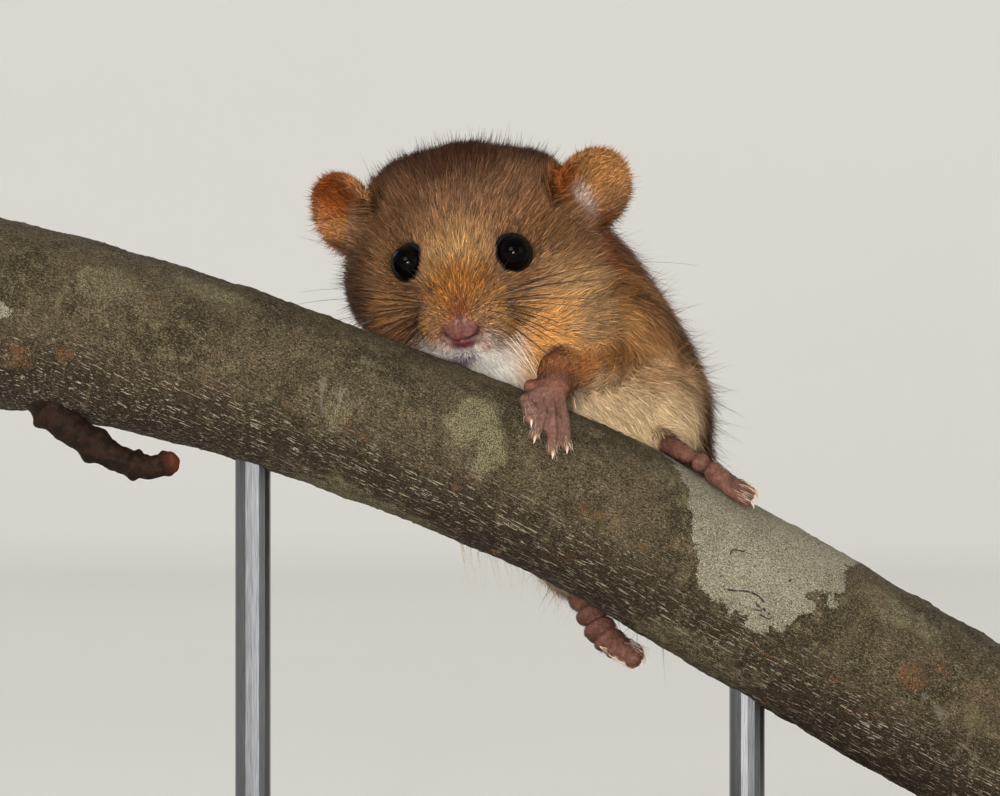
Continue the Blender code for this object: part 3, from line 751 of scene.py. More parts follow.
def add_tail(flesh):
    flesh.region = "tail"
    path = smooth_path(TAIL_PATH, 22)
    radii = list(path[:, 3])
    coats = [(1.0 - BARE_TAIL) * radius for radius in radii]
    flesh.rod([tuple(row[:3]) for row in path], radii, 0.1, coat=coats, hair=5.5, part="tail")


def body_flesh():
    flesh = Flesh()
    for add in (add_trunk, add_head, add_eyelids, add_ears, add_forelegs, add_hindlegs, add_tail,
                add_nostrils):
        add(flesh)
    return flesh


# ---- meshes
def add_object(name, data):
    made = bpy.data.objects.new(name, data)
    bpy.context.scene.collection.objects.link(made)
    return made


def hand_over(piece, material, slot, *stands_for):
    """Gives a piece its material and hides the nodes it is shown in place of. The slot is not
    used.
    """
    if material:
        piece.data.materials.append(material)
    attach(piece, "root")
    if stands_for:
        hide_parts(*stands_for)


def apply_modifiers(thing):
    """Makes what the modifiers show the object's own mesh."""
    bpy.context.view_layer.update()
    evaluated = thing.evaluated_get(bpy.context.evaluated_depsgraph_get())
    mesh = bpy.data.meshes.new_from_object(evaluated)
    thing.modifiers.clear()
    thing.data = mesh


def read(data, field, width=3, kind=np.float32):
    """One field of a mesh's points, edges or triangles, as rows."""
    flat = np.empty(len(data) * width, kind)
    data.foreach_get(field, flat)
    return flat.reshape(-1, width)


def points_of(mesh):
    return read(mesh.vertices, "co").astype(float)


def move_points(mesh, at):
    mesh.vertices.foreach_set("co", at.astype(np.float32).ravel())
    mesh.update()


def pull_tight(flesh, at, pulls):
    """Points brought onto the flesh's surface."""
    for _ in range(pulls):
        gap, gradient = flesh.distance_and_slope(at)
        pull = gap / np.maximum((gradient**2).sum(1), 0.05)
        at = at - gradient * np.clip(pull, -0.3, 0.3)[:, None]
    return at


def relaxed(mesh, at, strength=0.5):
    """Each point drawn towards the middle of its neighbours."""
    ends = read(mesh.edges, "vertices", 2, np.int32)
    count = np.bincount(ends.ravel(), minlength=len(at))[:, None]
    total = np.zeros_like(at)
    for axis in range(3):
        for one, other in ((0, 1), (1, 0)):
            total[:, axis] += np.bincount(ends[:, one], at[ends[:, other], axis], len(at))
    return at + strength * (total / np.maximum(count, 1) - at)


FINE_SPOTS = (  # where hands, feet and ears want a finer mesh: (centre, radius)
    ((2.4, -4.6, 44.6), 4.2),
    ((16.4, -1.0, 39.8), 4.0),
    ((10.0, 4.2, 24.6), 3.6),
    ((-12.2, 8.0, 45.4), 3.6),
)


def is_fine(at):
    """True where the face, an ear, a hand or a foot wants a finer mesh."""
    right, forward, up = to_head(at).T
    fine = (forward > 1.4) & (np.abs(right) < 6.4) & (up > -7.0)
    for side in (-1, 1):
        centre, turn = ear_frame(side)
        fine |= leaf_distance(*((at - np.array(centre)) @ np.array(turn)).T) < 0.3
    for spot, radius in FINE_SPOTS:
        fine |= ((at - np.array(spot)) ** 2).sum(1) < radius**2
    return fine


def make_skin(flesh):
    """One closed skin over all the flesh, finer on face, hands, feet and ears."""
    bm = flesh.rough_mesh()
    bmesh.ops.scale(bm, vec=(MM, MM, MM), verts=bm.verts)
    mesh = bpy.data.meshes.new("skin")
    bm.to_mesh(mesh)
    bm.free()
    skin = add_object("skin", mesh)
    remesh = skin.modifiers.new("voxels", "REMESH")
    remesh.mode = "VOXEL"
    remesh.voxel_size = VOXEL * MM
    apply_modifiers(skin)
    at = pull_tight(flesh, points_of(skin.data) / MM, 2)
    at = pull_tight(flesh, relaxed(skin.data, at), 1)
    move_points(skin.data, at * MM)
    bm = bmesh.new()
    bm.from_mesh(skin.data)
    middles = np.array([face.calc_center_median() for face in bm.faces]) / MM
    fine = [face for face, yes in zip(bm.faces, is_fine(middles)) if yes]
    edges = {edge for face in fine for edge in face.edges}
    bmesh.ops.subdivide_edges(bm, edges=list(edges), cuts=1, use_grid_fill=True)
    bmesh.ops.triangulate(bm, faces=[f for f in bm.faces if len(f.verts) > 4])
    bm.to_mesh(skin.data)
    bm.free()
    at = pull_tight(flesh, points_of(skin.data) / MM, 1)
    at = pull_tight(flesh, relaxed(skin.data, at), 2)
    move_points(skin.data, at * MM)
    group = skin.vertex_groups.new(name="coarse")
    coarse = np.flatnonzero(~is_fine(points_of(skin.data) / MM))
    group.add(coarse.tolist(), 1.0, "REPLACE")
    triangles = sum(len(face.vertices) - 2 for face in skin.data.polygons)
    fewer = skin.modifiers.new("fewer", "DECIMATE")
    fewer.ratio = min(1.0, SKIN_TRIANGLES / triangles)
    fewer.vertex_group = "coarse"
    apply_modifiers(skin)
    skin.vertex_groups.clear()
    skin.data.shade_smooth()
    return skin


# ---- markings
def wobble(at, size, seed):
    """Smooth noise from -1 to 1 at each point, with bumps about this size."""
    spot = at / size + seed * 17.31
    cell = np.floor(spot).astype(np.int64)
    part = spot - cell
    part = part * part * (3 - 2 * part)
    total = np.zeros(len(at))
    for corner in range(8):
        step = np.array([corner & 1, corner >> 1 & 1, corner >> 2 & 1])
        x, y, z = (cell + step).T
        mixed = (x * 73856093) ^ (y * 19349663) ^ (z * 83492791) ^ (seed * 2654435)
        mixed = (mixed ^ (mixed >> 13)) * 1274126177 & 0x7FFFFFFF
        value = (mixed ^ (mixed >> 16)) % 4096 / 2047.5 - 1.0
        weight = np.where(step, part, 1 - part).prod(axis=1)
        total += value * weight
    return total


LOOKS = {  # of the coat's parts: its colour, and its tufts' width, density, unrule and grizzle
    "head": ("8b6342", 0.047, 1.6, 0.13, 1.0),
    "trunk": ("8c633e", 0.052, 0.85, 0.12, 0.4),
    "arm": ("a87440", 0.052, 1.0, 0.16, 0.4),
    "leg": ("c4a67a", 0.052, 0.8, 0.16, 0.2),
    "tail": ("7c4c26", 0.06, 0.65, 0.3, 0.5),
    "ear": ("a87448", 0.045, 2.6, 0.4, 1.1),
    "hand": ("8a5239", 0.042, 0.9, 0.25, 0.2),
    "digit": ("8c675a", 0.036, 0.2, 0.3, 0.0),
    "foot": ("7a5245", 0.036, 0.2, 0.3, 0.0),
}
COLOUR, WIDTH, DENSITY, UNRULE, GRIZZLE = range(5)
BARE = ("hand", "digit", "foot")
# Blots laid over the colours in this order, as (middle, radii, colour, strength): on the head
# along its own axes, on the body along the world's
HEAD_BLOTS = (
    ((1.5, -17.0, 1.0), (12.0, 10.0, 9.0), "5a361d", 0.8),  # nape
    ((0.0, -12.0, 5.5), (12.5, 9.0, 6.2), "4a2a16", 0.85),
    ((0.0, -8.0, 6.6), (12.0, 6.4, 4.6), "2c150a", 0.97),  # crown, darker on top: partly darker fur, partly painted shade
    ((0.0, -2.2, 4.2), (7.0, 4.4, 3.0), "7f5c42", 0.9),  # brow
    # more of the crown's dark: partly darker fur, partly painted shade
    ((-0.8, -4.9, 6.2), (5.2, 3.4, 2.6), "3a2011", 0.9),
    ((-5.6, -1.6, 3.2), (2.8, 4.0, 3.2), "66482f", 0.8),
    ((0.0, 4.4, 1.2), (2.6, 3.0, 2.4), "a8804e", 0.85),  # between the eyes
    ((0.0, 6.4, -1.0), (2.7, 3.0, 2.0), "96602a", 0.9),  # bridge
    ((0.0, 7.6, -1.9), (1.1, 1.6, 1.2), "85481c", 0.9),
    ((0.0, 8.1, -2.3), (0.35, 0.9, 0.8), "5f3226", 0.8),
    ((8.2, -1.4, 0.6), (3.2, 4.0, 2.8), "6f4e30", 0.9),  # temples
    ((-8.2, -1.4, 0.6), (3.2, 4.0, 2.6), "6d4e33", 0.8),
    ((3.7, 5.4, -3.4), (2.3, 2.4, 2.0), "b0804a", 0.8),  # whisker pads
    ((-3.7, 5.4, -3.4), (2.3, 2.4, 2.0), "9f7040", 0.8),
    ((4.4, 4.6, -1.4), (1.4, 1.7, 0.9), "5f4630", 0.8),  # shade below the eyes
    ((-4.4, 4.6, -1.4), (1.4, 1.7, 0.9), "584030", 0.8),
    ((8.2, 0.8, -5.0), (3.8, 4.6, 3.6), "aa855a", 1.0),  # cheeks
    ((-9.2, 0.4, -2.6), (2.7, 4.0, 3.6), "46301f", 1.1),
    ((-5.8, 3.6, -3.8), (2.0, 2.8, 2.2), "946a42", 0.8),
    ((10.2, -8.0, -2.8), (3.2, 4.2, 3.2), "8a3f08", 1.0),  # below the ears
    ((-10.2, -6.6, -2.2), (3.0, 3.4, 3.0), "6a3414", 0.8),
    ((0.0, 5.8, -8.2), (5.2, 5.6, 3.2), "fbf5ec", 1.2),  # lips and chin
    ((0.0, -1.0, -11.6), (8.5, 7.0, 4.6), "fbf5ec", 1.2),  # throat
    ((5.7, 2.8, -7.3), (3.0, 4.6, 3.5), "dba05c", 1.0),
    ((1.7, 7.4, -5.4), (1.1, 1.4, 0.45), "c9a08a", 0.6),  # edge of the lip
    ((-1.7, 7.4, -5.4), (1.1, 1.4, 0.45), "c9a08a", 0.6),
    ((-0.5, 7.0, -6.3), (2.3, 1.5, 0.75), "c2bab5", 0.75),
    ((-0.45, 7.0, -6.4), (1.4, 1.3, 0.4), "7b7076", 0.95),
)
BODY_BLOTS = (
    ((4.0, 3.0, 33.0), (9.0, 12.0, 14.0), "ead9bf", 1.0),  # belly
    ((12.2, 3.0, 42.8), (8.0, 7.5, 5.2), "cab088", 1.05),  # flank
    ((17.0, 15.0, 49.0), (4.2, 9.5, 13.0), "502e12", 0.9),  # back
    ((9.8, 4.5, 49.9), (3.0, 4.0, 1.4), "7a4f27", 0.9),  # painted shade in the fold of the arm
    ((7.4, 1.6, 48.6), (1.6, 2.4, 1.8), "9a5a26", 0.8),
    ((9.0, 12.0, 60.0), (5.0, 6.0, 4.0), "5a3c24", 0.85),  # neck
    ((5.0, -0.6, 48.6), (1.8, 2.4, 1.7), "ab6541", 0.9),  # wrist
    ((9.0, 4.6, 53.2), (2.8, 4.0, 2.8), "a67847", 0.65),  # behind the cheek
    ((13.4, 7.5, 48.6), (3.6, 5.0, 2.2), "c69f74", 0.9),
    ((-4.0, 8.0, 44.0), (6.0, 9.0, 6.0), "e6d5bd", 0.9),  # chest
)


def blot(colour, at, blots):
    """Soft-edged patches laid over the colour, one after another."""
    for middle, radii, code, strength in blots:
        far = np.sqrt((((at - np.array(middle)) / np.array(radii)) ** 2).sum(1))
        share = clamp(1.45 - far)[:, None]
        share = np.minimum(strength * share * share * (3 - 2 * share), 1.0)
        colour = colour + (np.array(rgb(code)) - colour) * share
    return colour


def ear_spot(side, out, up, back=0.6):
    """A spot on an ear: how far out from its middle, up and back."""
    centre, turn = ear_frame(side)
    return np.array(centre + turn @ Vector((side * out, back, up)))


def ear_edge(at):
    """1 along the rims of the ears, else 0."""
    edge = np.zeros(len(at))
    for side in (-1, 1):
        centre, turn = ear_frame(side)
        wide, deep, high = ((at - np.array(centre)) @ np.array(turn)).T
        share = leaf_middle(wide, high)[1]
        edge += clamp((share - 0.86) * 12.0) * (share < 1.3) * (np.abs(deep) < 2.0)
    return edge


def markings(flesh, at, shares):
    """The coat's colour at each point, in millimetres, as linear numbers, with some painted shade
    on the crown and in the fold of the arm.
    """
    heads = part_share(flesh, shares, "head")
    colour = shares @ np.array([rgb(LOOKS[piece["part"]][COLOUR]) for piece in flesh.pieces])
    strayed = at + np.stack([wobble(at, 2.2, k) for k in (3, 4, 5)], axis=1) * 0.7
    colour = blot(colour, at, [
        (in_head(10.6, -9.3, -3.0), (3.0, 3.4, 2.8), "8a3f0c", 0.95),  # behind the left ear
        (in_head(-10.6, -7.6, -2.6), (2.6, 2.6, 2.6), "73370f", 0.8),
        (ear_spot(1, 1.2, 1.0), (3.4, 2.5, 3.4), "ad7946", 0.85),
        (ear_spot(1, -3.0, 1.6), (1.3, 2.5, 3.0), "8f4a1c", 0.95),
        (ear_spot(1, 0.4, -3.5), (2.6, 2.5, 1.2), "96521f", 0.9),
        (ear_spot(1, -1.7, -1.5), (1.5, 1.5, 1.8), "d4b6a8", 1.1),  # bare inside
        (ear_spot(-1, 0.6, 1.5), (4.6, 2.5, 3.2), "8a4314", 0.95),
        (ear_spot(-1, -0.4, -2.3), (3.0, 2.5, 1.6), "a87544", 0.9),
        (ear_spot(-1, -1.8, -1.8), (1.0, 1.5, 1.3), "b89c92", 0.9)])
    naked = part_share(flesh, shares, *BARE)
    on_head = blot(colour, to_head(strayed), HEAD_BLOTS)
    on_body = blot(colour, strayed, BODY_BLOTS)
    on_body = colour * naked + on_body * (1 - naked)
    colour = on_head * heads + on_body * (1 - heads)
    return colour * (1 + 0.14 * wobble(at, 1.4, 8))[:, None]


def paleness(colour):
    return clamp((colour.mean(axis=1) - 0.3) / 0.35)


# ---- coat
ROOTS_OFF_BARK, TIPS_OFF_BARK, STRANDS_OFF_BARK, CLAWS_OFF_BARK = 0.3, 0.15, 0.25, 0.12
ROOT_DEPTH = 0.04  # of each tuft's foot under the skin
DARKER, PALER = 0.36, 0.19  # share of tufts darker or paler than the rest, where it is grizzled
TUFTS = 475000
TUFTS_IN_A_PIECE = 62000
PATCH = 0.003  # across, of a tuft on its piece's map
# Each region's unwrap runs round an axis: a point on it and its way
REGIONS = {
    "head": (HEAD_AT, way_in_head(0, 1, 0)),
    "ear_left": (ear_frame(1)[0], ear_turn(1).col[1]),
    "ear_right": (ear_frame(-1)[0], ear_turn(-1).col[1]),
    "trunk": (SPINE_TOP, SPINE_END - SPINE_TOP),
    "foreleg_left": ((12.0, 9.2, 50.0), (-9.0, -11.0, -3.0)),
    "foreleg_right": ((-3.2, 13.6, 46.8), (-6.0, -9.0, 0.0)),
    "hindleg_left": ((14.4, 12.6, 43.4), (1.0, -14.0, -3.0)),
    "hindleg_right": ((2.8, 13.4, 35.0), (6.0, -10.0, -9.0)),
    "tail": ((25.0, 18.0, 24.0), (35.0, -6.0, -16.0)),
}


def each(flesh, shares, column):
    """The value from a column of the looks for each point's part of the animal."""
    return shares @ np.array([LOOKS[piece["part"]][column] for piece in flesh.pieces])


def part_share(flesh, shares, *parts):
    """How much of each point belongs to the parts, as a column."""
    return (shares @ np.array([float(piece["part"] in parts) for piece in flesh.pieces]))[:, None]


def in_runs(work, at, runs=10):
    return np.concatenate([work(part) for part in np.array_split(at, runs)])


def corners_of(mesh):
    mesh.calc_loop_triangles()
    return read(mesh.loop_triangles, "vertices", 3, np.int32)


def scatter(at, corners, weight, count, dice):
    """Spots strewn over the triangles: the three corners of each and its share of them."""
    a, b, c = (at[corners[:, k]] for k in range(3))
    area = lengths(np.cross(b - a, c - a)) / 2
    want = area * weight[corners].mean(axis=1)
    picked = corners[dice.choice(len(corners), size=count, p=want / want.sum())]
    u, v = dice.random(count), dice.random(count)
    fold = u + v > 1
    u[fold], v[fold] = 1 - u[fold], 1 - v[fold]
    return picked, np.stack([1 - u - v, u, v], axis=1)


def bareness(at):
    """1 on the coat and 0 where the skin is bare: the eyes' rims and the nose."""
    out = np.ones(len(at))
    for side in (-1, 1):
        far = lengths(at - np.array(eye_centre(side) + eye_axis(side) * 0.25))
        out *= clamp((far - EYE_RADIUS - 0.22) / 0.15)
    head = to_head(at)
    far = lengths((head - (0.0, 8.2, -4.15)) / (1.75, 1.3, 1.5))
    lip = lengths((head - (-0.45, 7.0, -6.4)) / (1.5, 1.5, 0.6))
    out *= 0.6 + 0.4 * clamp(lip - 0.5)
    return out * clamp((far - 0.95) / 0.15)


def flow(flesh, at, shares, normal):
    """Which way the coat lies at each point."""
    way = shares @ np.array([np.zeros(3) if piece["lie"] is None else piece["lie"]
                             for piece in flesh.pieces])
    nose = np.array(in_head(0.0, 9.5, -2.6))
    way += unit(at - nose) * part_share(flesh, shares, "head")
    ears = part_share(flesh, shares, "ear")
    for side in (-1, 1):
        centre, turn = ear_frame(side)
        foot = np.array(centre + turn @ Vector((-side * 3.0, 0.4, -2.4)))
        mine = to_head(at)[:, :1] * side > 0
        way += unit(at - foot) * (ears * mine)
    way -= normal * (way * normal).sum(1)[:, None]
    return unit(way)


def plan_coat(flesh, skin):
    """Every tuft's root, tip and outward way, in millimetres, with its looks and region."""
    dice = np.random.default_rng(SEED)
    at, corners = points_of(skin.data) / MM, corners_of(skin.data)
    normals = read(skin.data.vertices, "normal").astype(float)
    rough = in_runs(flesh.shares, at)
    picked, parts = scatter(at, corners, each(flesh, rough, DENSITY) * bareness(at), TUFTS, dice)
    root = (at[picked] * parts[..., None]).sum(1)
    keep = over_bark(root)[0] > ROOTS_OFF_BARK
    picked, parts, root = picked[keep], parts[keep], root[keep]
    normal = unit((normals[picked] * parts[..., None]).sum(1))
    shares = in_runs(flesh.shares, root)
    tip, guard = coat_tips(flesh, root, normal, shares, dice)
    looks = coat_looks(flesh, root, shares, guard, dice)
    names = list(REGIONS)
    region = np.zeros((len(root), len(names)))
    for k, piece in enumerate(flesh.pieces):
        region[:, names.index(piece["region"])] += shares[:, k]
    return dict(looks, root=root, tip=tip, normal=normal, region=region.argmax(axis=1))


def coat_tips(flesh, root, normal, shares, dice):
    """Where each tuft ends, and the rows of the few long guard hairs."""
    count = len(root)
    way = flow(flesh, root, shares, normal)
    side = np.cross(normal, way)
    lean = 0.2 * wobble(root, 5.0, 1) + 0.09 * wobble(root, 1.6, 2)
    lean += dice.normal(size=count) * each(flesh, shares, UNRULE)
    way = unit(way * np.cos(lean)[:, None] + side * np.sin(lean)[:, None])
    length = shares @ np.array([piece["hair"] for piece in flesh.pieces])
    coat = shares @ np.array([piece["coat"] for piece in flesh.pieces])
    length *= dice.uniform(0.6, 1.12, count) * (1 + 0.15 * wobble(root, 2.0, 6))
    from_nose = lengths(to_head(root) - (0, 7.5, -3.5))
    length *= 0.55 + 0.45 * clamp((from_nose - 1.5) / 3.0)
    stray = 1.0 + dice.uniform(0.2, 0.7, count) * (dice.random(count) < 0.1)
    rise = np.minimum(coat * dice.uniform(0.3, 1.0, count) * stray + 0.06, 0.65 * length)
    rise *= 1.0 + 2.2 * ear_edge(root) * dice.random(count)
    guard = np.flatnonzero((dice.random(count) < 0.018 + 0.016 * coat) & (coat > 0.7))
    length[guard] *= dice.uniform(1.1, 1.6, len(guard))
    rise[guard] *= dice.uniform(1.4, 2.3, len(guard))
    tip = root + way * np.sqrt(np.maximum(length**2 - rise**2, 0.01))[:, None]
    tip = draw_together(root, tip + normal * rise[:, None], dice)
    return clear_of_eyes(root, clear_of_bark(root, settle(flesh, tip, rise))), guard


def coat_looks(flesh, root, shares, guard, dice):
    """Each tuft's colour, how it fades from foot to end, its width, shape and roll."""
    count = len(root)
    colour = markings(flesh, root, shares)
    grizzle = each(flesh, shares, GRIZZLE)
    darker = dice.random(count) < DARKER * grizzle
    paler = (dice.random(count) < PALER * grizzle) & ~darker
    pale = paleness(colour)
    tint = np.exp(dice.normal(0.0, 0.25, count) * (1.0 - 0.25 * pale))
    tint[darker] *= (0.4 + 0.4 * pale)[darker]
    tint[paler] *= (1.85 - 0.8 * pale)[paler]
    tint[guard] *= 0.85
    width = each(flesh, shares, WIDTH) * dice.uniform(0.7, 1.25, count)
    width[guard] *= 0.8
    shape = dice.integers(0, GUARD_SHAPE, count)
    shape[guard] = GUARD_SHAPE
    ends = dice.uniform(-0.45, 0.7, count) * (0.3 + grizzle) * (1.0 - 0.6 * pale)
    return dict(colour=colour * tint[:, None], width=width, shape=shape, ends=ends,
                foot=0.62 - 0.36 * pale, roll=dice.normal(0.0, 0.55, count))


def draw_together(root, tip, dice, share=0.13):
    """Tips lean towards where the nearest of a few leading tufts points."""
    leaders = dice.choice(len(root), size=len(root) // 12, replace=False)
    tree = KDTree(len(leaders))
    for k, leader in enumerate(leaders):
        tree.insert(root[leader], k)
    tree.balance()
    nearest = leaders[[tree.find(spot)[1] for spot in root]]
    reach = lengths(tip - root)
    aim = root + unit(tip[nearest] - root) * reach[:, None]
    alike = (unit(aim - root) * unit(tip - root)).sum(1) > 0.4
    pull = share * dice.uniform(0.2, 1.8, len(root)) * alike
    return tip + (aim - tip) * pull[:, None]


def settle(flesh, tip, rise):
    """Tips are brought to their height over the skin."""
    for _ in range(2):
        gap, gradient = flesh.distance_and_slope(tip)
        move = (rise - gap) / np.maximum((gradient**2).sum(1), 0.2)
        tip = tip + gradient * np.clip(move, -1.2, 1.2)[:, None]
    return tip


def clear_of_bark(root, tip):
    """Tufts that would dip into the bark are lifted over it."""
    for share in (1.0, 0.6):
        height, out = over_bark(root + (tip - root) * share)
        tip = tip + out * (np.maximum(TIPS_OFF_BARK - height, 0.0) / share)[:, None]
    return tip


def map_places(tufts, mine, region, pieces):
    """A place on the map for each tuft: its root on an unwrap round the region's axis, spread
    so that the tufts share the square evenly. Gives each tuft's piece too."""
    origin, axis = REGIONS[region]
    axis = np.array(Vector(axis).normalized())
    across = np.array(Vector(axis).orthogonal().normalized())
    local = tufts["root"][mine] - np.array(origin)
    run = local @ axis
    angle = np.arctan2(local @ np.cross(axis, across), local @ across)
    order = np.argsort(run, kind="stable")
    piece = np.empty(len(mine), int)
    place = np.empty((len(mine), 2))
    for number, chunk in enumerate(np.array_split(order, pieces)):
        piece[chunk] = number
        rows = math.ceil(math.sqrt(len(chunk)))
        for row, band in enumerate(np.array_split(chunk, rows)):
            band = band[np.argsort(angle[band], kind="stable")]
            place[band, 0] = (np.arange(len(band)) + 0.5) / len(band)
            place[band, 1] = (row + 0.5) / rows
    return place * (1 - 2 * PATCH) + PATCH, piece


def clear_of_eyes(root, tip):
    """Tufts that would lie over an eye end at its rim."""
    for side in (-1, 1):
        centre = np.array(eye_centre(side) + eye_axis(side) * 0.25)
        run, gap = tip - root, root - centre
        a, b = (run**2).sum(1), (run * gap).sum(1)
        c = (gap**2).sum(1) - (EYE_RADIUS + 0.18) ** 2
        inside = np.maximum(b * b - a * c, 0.0)
        meets = np.where(inside > 0, (-b - np.sqrt(inside)) / a, 2.0)
        stops = (meets < 1.0) & (b < 0)
        tip = np.where(stops[:, None], root + run * np.maximum(meets, 0.12)[:, None], tip)
    return tip


TUFT_BENDS = (  # (arch, curl) of each shape; the last one is the guard hairs'
    (0.17, 0.04), (0.11, -0.05), (0.22, 0.07), (0.05, -0.03), (-0.09, 0.02))
GUARD_SHAPE = len(TUFT_BENDS) - 1


def tuft_shapes():
    """Thin tapering locks, one unit long along +X and wide along Y, arched towards +Z."""
    shapes = bpy.data.collections.new("tuft_shapes")
    for number, (arch, curl) in enumerate(TUFT_BENDS):
        bm = bmesh.new()
        along = bm.verts.layers.float.new("along")
        patch = bm.verts.layers.float_vector.new("patch")
        rows = []
        for share, half in ((0.0, 0.4), (0.45, 0.5), (1.0, 0.0)):
            height = 4 * arch * share * (1.0 - share)
            bent = curl * math.sin(math.pi * share)
            row = []
            for edge in (-1, 1) if half else (0,):
                vertex = bm.verts.new((share, edge * half, height))
                vertex[along] = share
                vertex[patch] = (share - 0.5, 0.5 * edge, bent)
                row.append(vertex)
            rows.append(row)
        for (a, b), (c, d) in zip(rows[:-2], rows[1:-1]):
            bm.faces.new((a, c, d, b))
        bm.faces.new((rows[-2][0], rows[-1][0], rows[-2][1]))
        mesh = bpy.data.meshes.new("tuft_%d" % number)
        bm.to_mesh(mesh)
        bm.free()
        shapes.objects.link(bpy.data.objects.new(mesh.name, mesh))
    return shapes


def new_tree(name, inputs):
    """A Geometry Nodes tree with the given named inputs, and its input and output nodes."""
    tree = bpy.data.node_groups.new(name, "GeometryNodeTree")
    face = tree.interface
    face.new_socket("Geometry", in_out="INPUT", socket_type="NodeSocketGeometry")
    face.new_socket("Geometry", in_out="OUTPUT", socket_type="NodeSocketGeometry")
    for label, (kind, value) in inputs.items():
        socket = face.new_socket(label, in_out="INPUT", socket_type="NodeSocket" + kind)
        if value is not None:
            socket.default_value = value
    graph = Graph(tree)
    return graph, graph.node("NodeGroupInput")


def named(graph, name, kind="FLOAT"):
    return graph.node("GeometryNodeInputNamedAttribute", {"Name": name}, data_type=kind)


def vector_math(graph, operation, *values):
    return graph.node("ShaderNodeVectorMath", dict(enumerate(values)), operation=operation)


def tuft_tree():
    """Puts a shape at each point, along its chord, and keeps the root's place as its map."""
    graph, given = new_tree("coat_tufts", {
        "Shapes": ("Collection", None), "Material": ("Material", None), "Patch": ("Float", PATCH),
        "Softness": ("Float", 0.5),
    })
    points = graph.node("GeometryNodeMeshToPoints", {"Mesh": given})
    shapes = graph.node("GeometryNodeCollectionInfo", {
        "Collection": given.out("Shapes"), "Separate Children": True})
    turn = graph.node("FunctionNodeAxesToRotation", {
        "Primary Axis": named(graph, "chord", "FLOAT_VECTOR"),
        "Secondary Axis": named(graph, "roof", "FLOAT_VECTOR")},
        primary_axis="X", secondary_axis="Z")
    placed = graph.node("GeometryNodeInstanceOnPoints", {
        "Points": points, "Instance": shapes, "Pick Instance": True,
        "Instance Index": named(graph, "shape", "INT"), "Rotation": turn,
        "Scale": named(graph, "size", "FLOAT_VECTOR")})
    real = graph.node("GeometryNodeRealizeInstances", {"Geometry": placed})
    patch = vector_math(graph, "SCALE", named(graph, "patch", "FLOAT_VECTOR"))
    graph.tree.links.new(given.out("Patch").socket, patch.socket.node.inputs["Scale"])
    place = vector_math(graph, "ADD", named(graph, "place", "FLOAT_VECTOR"), patch)
    mapped = graph.node("GeometryNodeStoreNamedAttribute", {
        "Geometry": real, "Name": "OFBake", "Value": place}, data_type="FLOAT2", domain="CORNER")
    smooth = graph.node("GeometryNodeSetShadeSmooth", {"Geometry": mapped})
    soft = graph.node("ShaderNodeMix", {
        0: given.out("Softness"), 4: graph.node("GeometryNodeInputNormal"),
        5: named(graph, "out", "FLOAT_VECTOR")}, 1, data_type="VECTOR")
    bent = graph.node("GeometryNodeSetMeshNormal", {
        "Mesh": smooth, "Custom Normal": vector_math(graph, "NORMALIZE", soft)},
        mode="FREE", domain="POINT")
    return close_tree(graph, given, bent)


def grow(name, points, edges, fields, tree, inputs):
    """A mesh from a Geometry Nodes tree fed with points, edges and named fields."""
    mesh = bpy.data.meshes.new(name)
    mesh.from_pydata(points.tolist(), edges, [])
    for field, values in fields.items():
        values = np.asarray(values)
        kind = "INT" if values.dtype.kind == "i" else "FLOAT"
        if values.ndim == 2:
            kind = "FLOAT_VECTOR" if values.shape[1] == 3 else "FLOAT_COLOR"
        slot = {"FLOAT_VECTOR": "vector", "FLOAT_COLOR": "color"}.get(kind, "value")
        layer = mesh.attributes.new(field, kind, "POINT")
        values = values.astype(np.int32 if kind == "INT" else np.float32)
        layer.data.foreach_set(slot, values.ravel())
    thing = add_object(name, mesh)
    modifier = thing.modifiers.new("grown", "NODES")
    modifier.node_group = tree
    for item in tree.interface.items_tree:
        if item.in_out == "INPUT" and item.name in inputs:
            modifier[item.identifier] = inputs[item.name]
    apply_modifiers(thing)
    return thing


def with_alpha(colour):
    return np.hstack([colour, np.ones((len(colour), 1))])


def make_coat(flesh, skin, material):
    """The coat's pieces, each with the name of its slot, region by region."""
    tufts = plan_coat(flesh, skin)
    tree, shapes = tuft_tree(), tuft_shapes()
    made = []
    for number, region in enumerate(REGIONS):
        mine = np.flatnonzero(tufts["region"] == number)
        if not len(mine):
            continue
        pieces = math.ceil(len(mine) / TUFTS_IN_A_PIECE)
        place, piece = map_places(tufts, mine, region, pieces)
        for count in range(pieces):
            rows = mine[piece == count]
            tuft = {name: values[rows] for name, values in tufts.items()}
            run, out, roll = tuft["tip"] - tuft["root"], tuft["normal"], tuft["roll"][:, None]
            chord, reach = unit(run), lengths(run)
            side = unit(np.cross(out, chord))
            roof = np.cross(chord, side) * np.cos(roll) + side * np.sin(roll)
            size = np.stack([reach, tuft["width"], reach], axis=1) * MM
            spot = np.hstack([place[piece == count], np.zeros((len(rows), 1))])
            name = "coat_" + region + ("_%d" % (count + 1) if pieces > 1 else "")
            thing = grow(name, (tuft["root"] - out * ROOT_DEPTH) * MM, [], {
                "chord": chord, "roof": roof, "out": out, "size": size, "place": spot,
                "shape": tuft["shape"], "hue": with_alpha(tuft["colour"]),
                "ends": tuft["ends"], "foot": tuft["foot"],
            }, tree, {"Shapes": shapes, "Material": material})
            for field in ("chord", "roof", "out", "size", "place", "shape", "patch"):
                layer = thing.data.attributes.get(field)
                if layer:
                    thing.data.attributes.remove(layer)
            made.append((thing, "ear" if region.startswith("ear") else "coat"))
    return made


